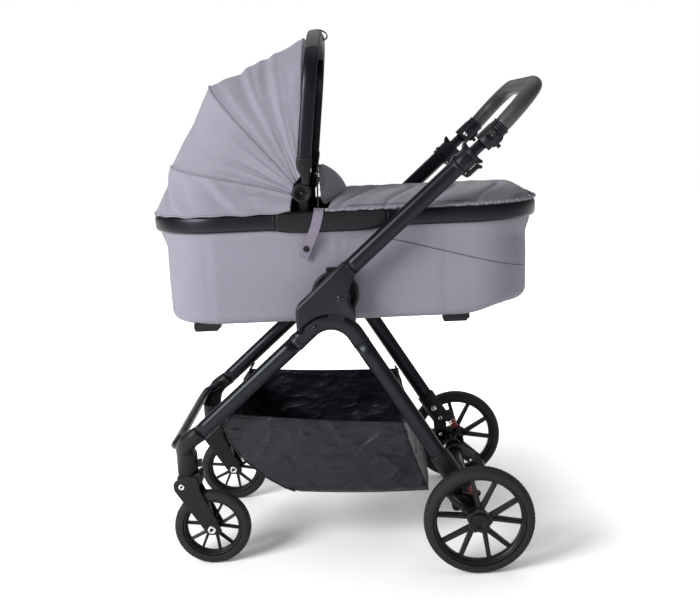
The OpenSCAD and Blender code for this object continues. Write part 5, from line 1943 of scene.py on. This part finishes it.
def makeBow():
    a = math.radians(canopy["bowAngle"])
    radial, side_ = Vector((math.cos(a), 0, math.sin(a))), Vector((math.sin(a), 0, -math.cos(a)))
    reach, corner, y0 = canopy["bowR"] - 9, canopy["corner"], canopy["bowY"]

    def bowRings(start, end, tall, wide, count, power=2.6):
        rings = []
        for k in range(count + 1):
            t = mix(start, end, k / count)
            p, q, m = (hoopPoint(canopy["bowAngle"], reach, y0, corner, v, 58)
                       for v in (max(0, t - 0.004), min(1, t + 0.004), t))
            tangent = (q - p).normalized()
            n = side_.cross(tangent).normalized()
            rings.append([tuple(m + side_ * u + n * v) for u, v in blunt(tall, wide, power, 32)])
        return rings

    tube = loft("bowTube", bowRings(0.0, 1.0, 31, 15.6, 110), finishes["tube"])
    place(tube, "canopy_front", "anodised_tube", "canopy_bow")
    cover = loft("bowCover", bowRings(0.30, 0.70, 31.8, 16.6, 90, 2.6), finishes["leather"])
    place(cover, "canopy_front", "grip_leather")
    seam = []
    for off in (-0.5, 0.5):
        rings = bowRings(0.305, 0.695, 1.4, 1.4, 80, 2)
        shift = []
        for k, ring in enumerate(rings):
            m = sum((Vector(p) for p in ring), Vector()) / len(ring)
            t = mix(0.305, 0.695, k / 80)
            p, q = (hoopPoint(canopy["bowAngle"], reach, y0, corner, v, 58) for v in (t - 0.004, t + 0.004))
            n = side_.cross((q - p).normalized()).normalized()
            middle = Vector((hub[0], 0, hub[1]))
            inner = n if (m + n - middle).length < (m - middle).length else -n
            shift.append([tuple(Vector(v) + inner * 8.1 + side_ * off * 5) for v in ring])
        seam.append(loft("bowSeam", shift, finishes["leather"]))
    place(join("bowSeams", seam), "canopy_front", "grip_leather")
    loop = []
    for k in range(25):
        turn = math.radians(mix(200, -62, k / 24))
        loop.append(tuple(Vector((hub[0], 0, hub[1])) + radial * (reach + 1 + 12.5 * math.sin(turn)) + side_
                          * (3 + 22 * math.cos(turn))))
    strap = [[tuple(Vector(p) + Vector((0, u, 0)) + radial * (v * math.sin(t_)) + side_ * (v * math.cos(t_)))
              for u, v in ((12, 1.3), (-12, 1.3), (-12, -1.3), (12, -1.3))] for p,
              t_ in zip(loop, [math.radians(mix(200, -62, k / 24)) for k in range(25)])]
    place(soften(loft("bowLoop", strap, finishes["plastic"]), 0.8, 2, 50), "canopy_front", "black_nylon")

    def clamp():
        marks = [(76, -17, 17.6, 19), (70, -17, 17.6, 19), (60, -16.6, 17.4, 19), (50, -13.2, 16.4, 19),
                 (42, -7.5, 15.4, 18.5), (34, -3.5, 14.6, 18),
                 (28, -2, 14.4, 17.4), (20, -3.5, 15.5, 17)]
        rings = []
        for r, left, right, deep in marks:
            cut = blunt(right - left, deep, 4, 28)
            base = Vector((hub[0], y0, hub[1])) + radial * r + side_ * ((left + right) / 2)
            rings.append([tuple(base + side_ * u + Vector((0, v, 0))) for u, v in cut])
        parts = [soften(loft("clampBody", rings, finishes["plastic"]), 0.8, 2, 50)]
        parts.append(lathe("hubRing", [(20, y0 - 7.8), (21, y0 - 6), (21, y0 + 7), (19.4, y0 + 9),
                                       (15.4, y0 + 9.4), (14, y0 + 8), (13.4, y0 + 5.0),
                                       (5.06, y0 + 5.0), (5.06, y0 - 7.8)], hub, finishes["plastic"], 72))
        spot = (hub[0] + radial.x * 57 + side_.x, hub[1] + radial.z * 57 + side_.z)
        parts.append(domeScrew("clampScrew", spot, y0 + 9.3, 4.6))
        return join("bowClamp", parts)

    pair(clamp, "canopy_front", "black_plastic")

    def post():
        y = 176.5
        outline = [around(hub, b, 15) for b in range(0, 181, 15)] + [(hub[0] - 11, 845), (hub[0] - 11, 790.5),
                                                                     (hub[0] + 11, 790.5), (hub[0] + 11, 845)]
        parts = [plate("hubPost", outline, y - 2.5, y + 2.5, finishes["plastic"], 1.0),
                 plate("hubFoot", [(hub[0] - 11, 790), (hub[0] - 11, 806), (hub[0] + 11, 806),
                                   (hub[0] + 11, 790)], y, 192.9, finishes["plastic"], 1.0),
                 lathe("hubPin", [(4.95, y + 2), (4.95, y0 + 6), (0.001, y0 + 6), (0.001, y + 2)], hub,
                       finishes["darkSteel"], 32)]
        return join("hubPost", parts)

    right, left = pair(post, "carrycot", "black_plastic")
    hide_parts("canopy_hubs")


makeCanopy()
makeBow()
print("stage: canopy made")


basketSizes = {"half": 197, "wall": 0.0016}


def basketPoint(u, v):  # u from front (0) to back (1), v from the top edge (0) to the floor (1)
    front = ((-281, 360), (-301, 334), (-290, 296), (-262, 252), (-212, 205), (-166, 176), (-128, 160))
    back = ((118, 324), (126, 292), (135, 262), (145, 232), (154, 204), (164, 176), (172, 151))
    k = min(len(front) - 1.0001, v * (len(front) - 1))
    i = int(k)
    a, b = mixPoint(front[i], front[i + 1], k - i), mixPoint(back[i], back[i + 1], k - i)
    return mix(a[0], b[0], u), mix(a[1], b[1], u) - 4 * math.sin(math.pi * u)


def makeBasket():
    rows, cols = 30, 72
    half = basketSizes["half"]
    points = []
    for side_ in (-1, 1):
        for i in range(rows):
            v = i / (rows - 1)
            for j in range(cols):
                u = j / (cols - 1)
                x, z = basketPoint(u, v)
                bulge = 7 * math.sin(math.pi * min(1, v * 1.1)) * math.sin(math.pi * u) ** 0.5
                fold = 4.6 * noise.noise(Vector((x * 0.012, side_ * 3, z * 0.02)))
                fold += 3.0 * noise.noise(Vector((x * 0.03 + z * 0.02, side_ * 5, z * 0.035)))
                fold += 2.2 * abs(noise.noise(Vector((x * 0.05 - z * 0.03, side_ * 9, z * 0.05))))
                k = math.sin(math.pi * min(1, v * 0.98 + 0.02)) ** 0.5 * min(1, 6 * u, 6 * (1 - u) + 0.2)
                turn = 10 * ease((v - 0.88) / 0.12)
                lift = 0.0 if side_ < 0 else mix(6, 26, u) * (1 - v)
                points.append((x, side_ * (half - turn - 3 + (bulge + fold) * k * 0.8), z + lift))
    faces = [tuple(reversed(f)) for f in gridFaces(rows, cols)]
    n = rows * cols
    faces += [tuple(n + k for k in f) for f in gridFaces(rows, cols)]
    across = 26

    def span(ids0, ids1, shape):  # a panel of cloth between two matching rows of points
        grid = []
        for a, b in zip(ids0, ids1):
            row = [a]
            for k in range(1, across):
                t = k / across
                p = mixPoint(points[a], points[b], t)
                points.append(shape(p, t))
                row.append(len(points) - 1)
            grid.append(row + [b])
        for r0, r1 in zip(grid, grid[1:]):
            faces.extend((r0[k], r0[k + 1], r1[k + 1], r1[k]) for k in range(across))

    def floorShape(p, t):
        wave = 3.0 * noise.noise(Vector((p[0] * 0.02, p[1] * 0.02, 1.0)))
        return (p[0], p[1], p[2] - 3 * math.sin(math.pi * t) + wave * math.sin(math.pi * t) ** 0.5 + 2)

    def frontShape(p, t):
        wave = 3.5 * noise.noise(Vector((p[1] * 0.03, p[2] * 0.03, 5.0)))
        sag = 16 * math.sin(math.pi * t) * ease((p[2] - 250) / 110)
        return (p[0] + wave - sag * 0.2, p[1], p[2] - sag)

    def backShape(p, t):
        quilt = 4.0 * abs(math.sin((p[2] - 150) * math.pi / 34)) * math.sin(math.pi * t) ** 0.3
        wave = 2.5 * noise.noise(Vector((p[1] * 0.03, p[2] * 0.03, 9.0)))
        return (p[0] + quilt + wave + 12 * math.sin(math.pi * t) * 0.4, p[1], p[2])

    span([(rows - 1) * cols + j for j in range(cols)], [n + (rows - 1) * cols + j for j in range(cols)],
         floorShape)
    span([i * cols for i in range(rows)], [n + i * cols for i in range(rows)], frontShape)
    span([i * cols + cols - 1 for i in range(rows)], [n + i * cols + cols - 1 for i in range(rows)],
         backShape)
    bag = makePiece("basketBag", points, faces, finishes["nylon"], closed=False)
    bm = bmesh.new()
    bm.from_mesh(bag.data)
    bmesh.ops.remove_doubles(bm, verts=bm.verts, dist=1e-5)
    bmesh.ops.recalc_face_normals(bm, faces=bm.faces)
    bm.to_mesh(bag.data)
    bm.free()
    down = [p for p in bag.data.polygons if p.center.z < 0.16]
    if sum(p.normal.z for p in down) > 0:
        bag.data.flip_normals()
    wall = bag.modifiers.new("wall", "SOLIDIFY")
    wall.thickness, wall.offset = basketSizes["wall"], -1
    smooth = bag.modifiers.new("smooth", "SUBSURF")
    smooth.levels = smooth.render_levels = 1
    settle(bag)
    place(bag, "chassis", "black_nylon", "basket")
    binding = []
    for s in (-1, 1):
        rise = (0, 0) if s < 0 else (6, 26)
        top = [(basketPoint(k / 50, 0)[0], s * (half - 3), basketPoint(k / 50, 0)[1] + mix(*rise, k / 50))
               for k in range(51)]
        binding.append(sweepFree("basketPiping", top, 2.4, finishes["nylon"]))
        seam = [(basketPoint(0.02 + k / 52, 0.045)[0], s * (half - 1.2),
                 basketPoint(0.02 + k / 52, 0.045)[1] + mix(*rise, k / 52))
                for k in range(50)]
        binding.append(sweepFree("basketHemSeam", seam, 0.7, finishes["thread"]))
        front = [(basketPoint(0, k / 30)[0], s * (half - 3), basketPoint(0,
                                                                         k / 30)[1] + rise[0] * (1 - k / 30))
                                                                         for k in range(29)]
        binding.append(sweepFree("basketFrontPiping", front, 1.8, finishes["nylon"]))
    for u in (0.0, 1.0):
        x, z = basketPoint(u, 0)
        high = mix(6, 26, u)
        cross = [(x, mix(-194, 194, k / 40), z + high * k / 40 - (16 * math.sin(math.pi * k / 40) if u == 0
                                                                  else 0) + 1) for k in range(41)]
        binding.append(sweepFree("basketEndPiping", cross, 2.2, finishes["nylon"]))
    place(join("basketBinding", binding), "chassis", "black_nylon")
    tabs = []
    for s in (-1, 1):
        far = (1 + s) / 2
        ends = [((-281, s * 193, 359 + 6 * far), (-272, s * 214, 378)),
                ((116, s * 193, 323 + 26 * far), (112, s * 216, 326 + 26 * far))]
        tabs += [sweepFree("basketTab", [mixPoint(p, q, k / 4) for k in range(5)], 3.4, finishes["nylon"])
                 for p, q in ends]
    place(join("basketTabs", tabs), "chassis", "black_nylon")


makeBasket()
print("stage: basket made")


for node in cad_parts.values():  # the frame's own parts that stay
    if not node.data.materials:
        node.data.materials.append(finishes["plastic"])
    for k in range(len(node.data.materials)):
        node.data.materials[k] = finishes["plastic"]
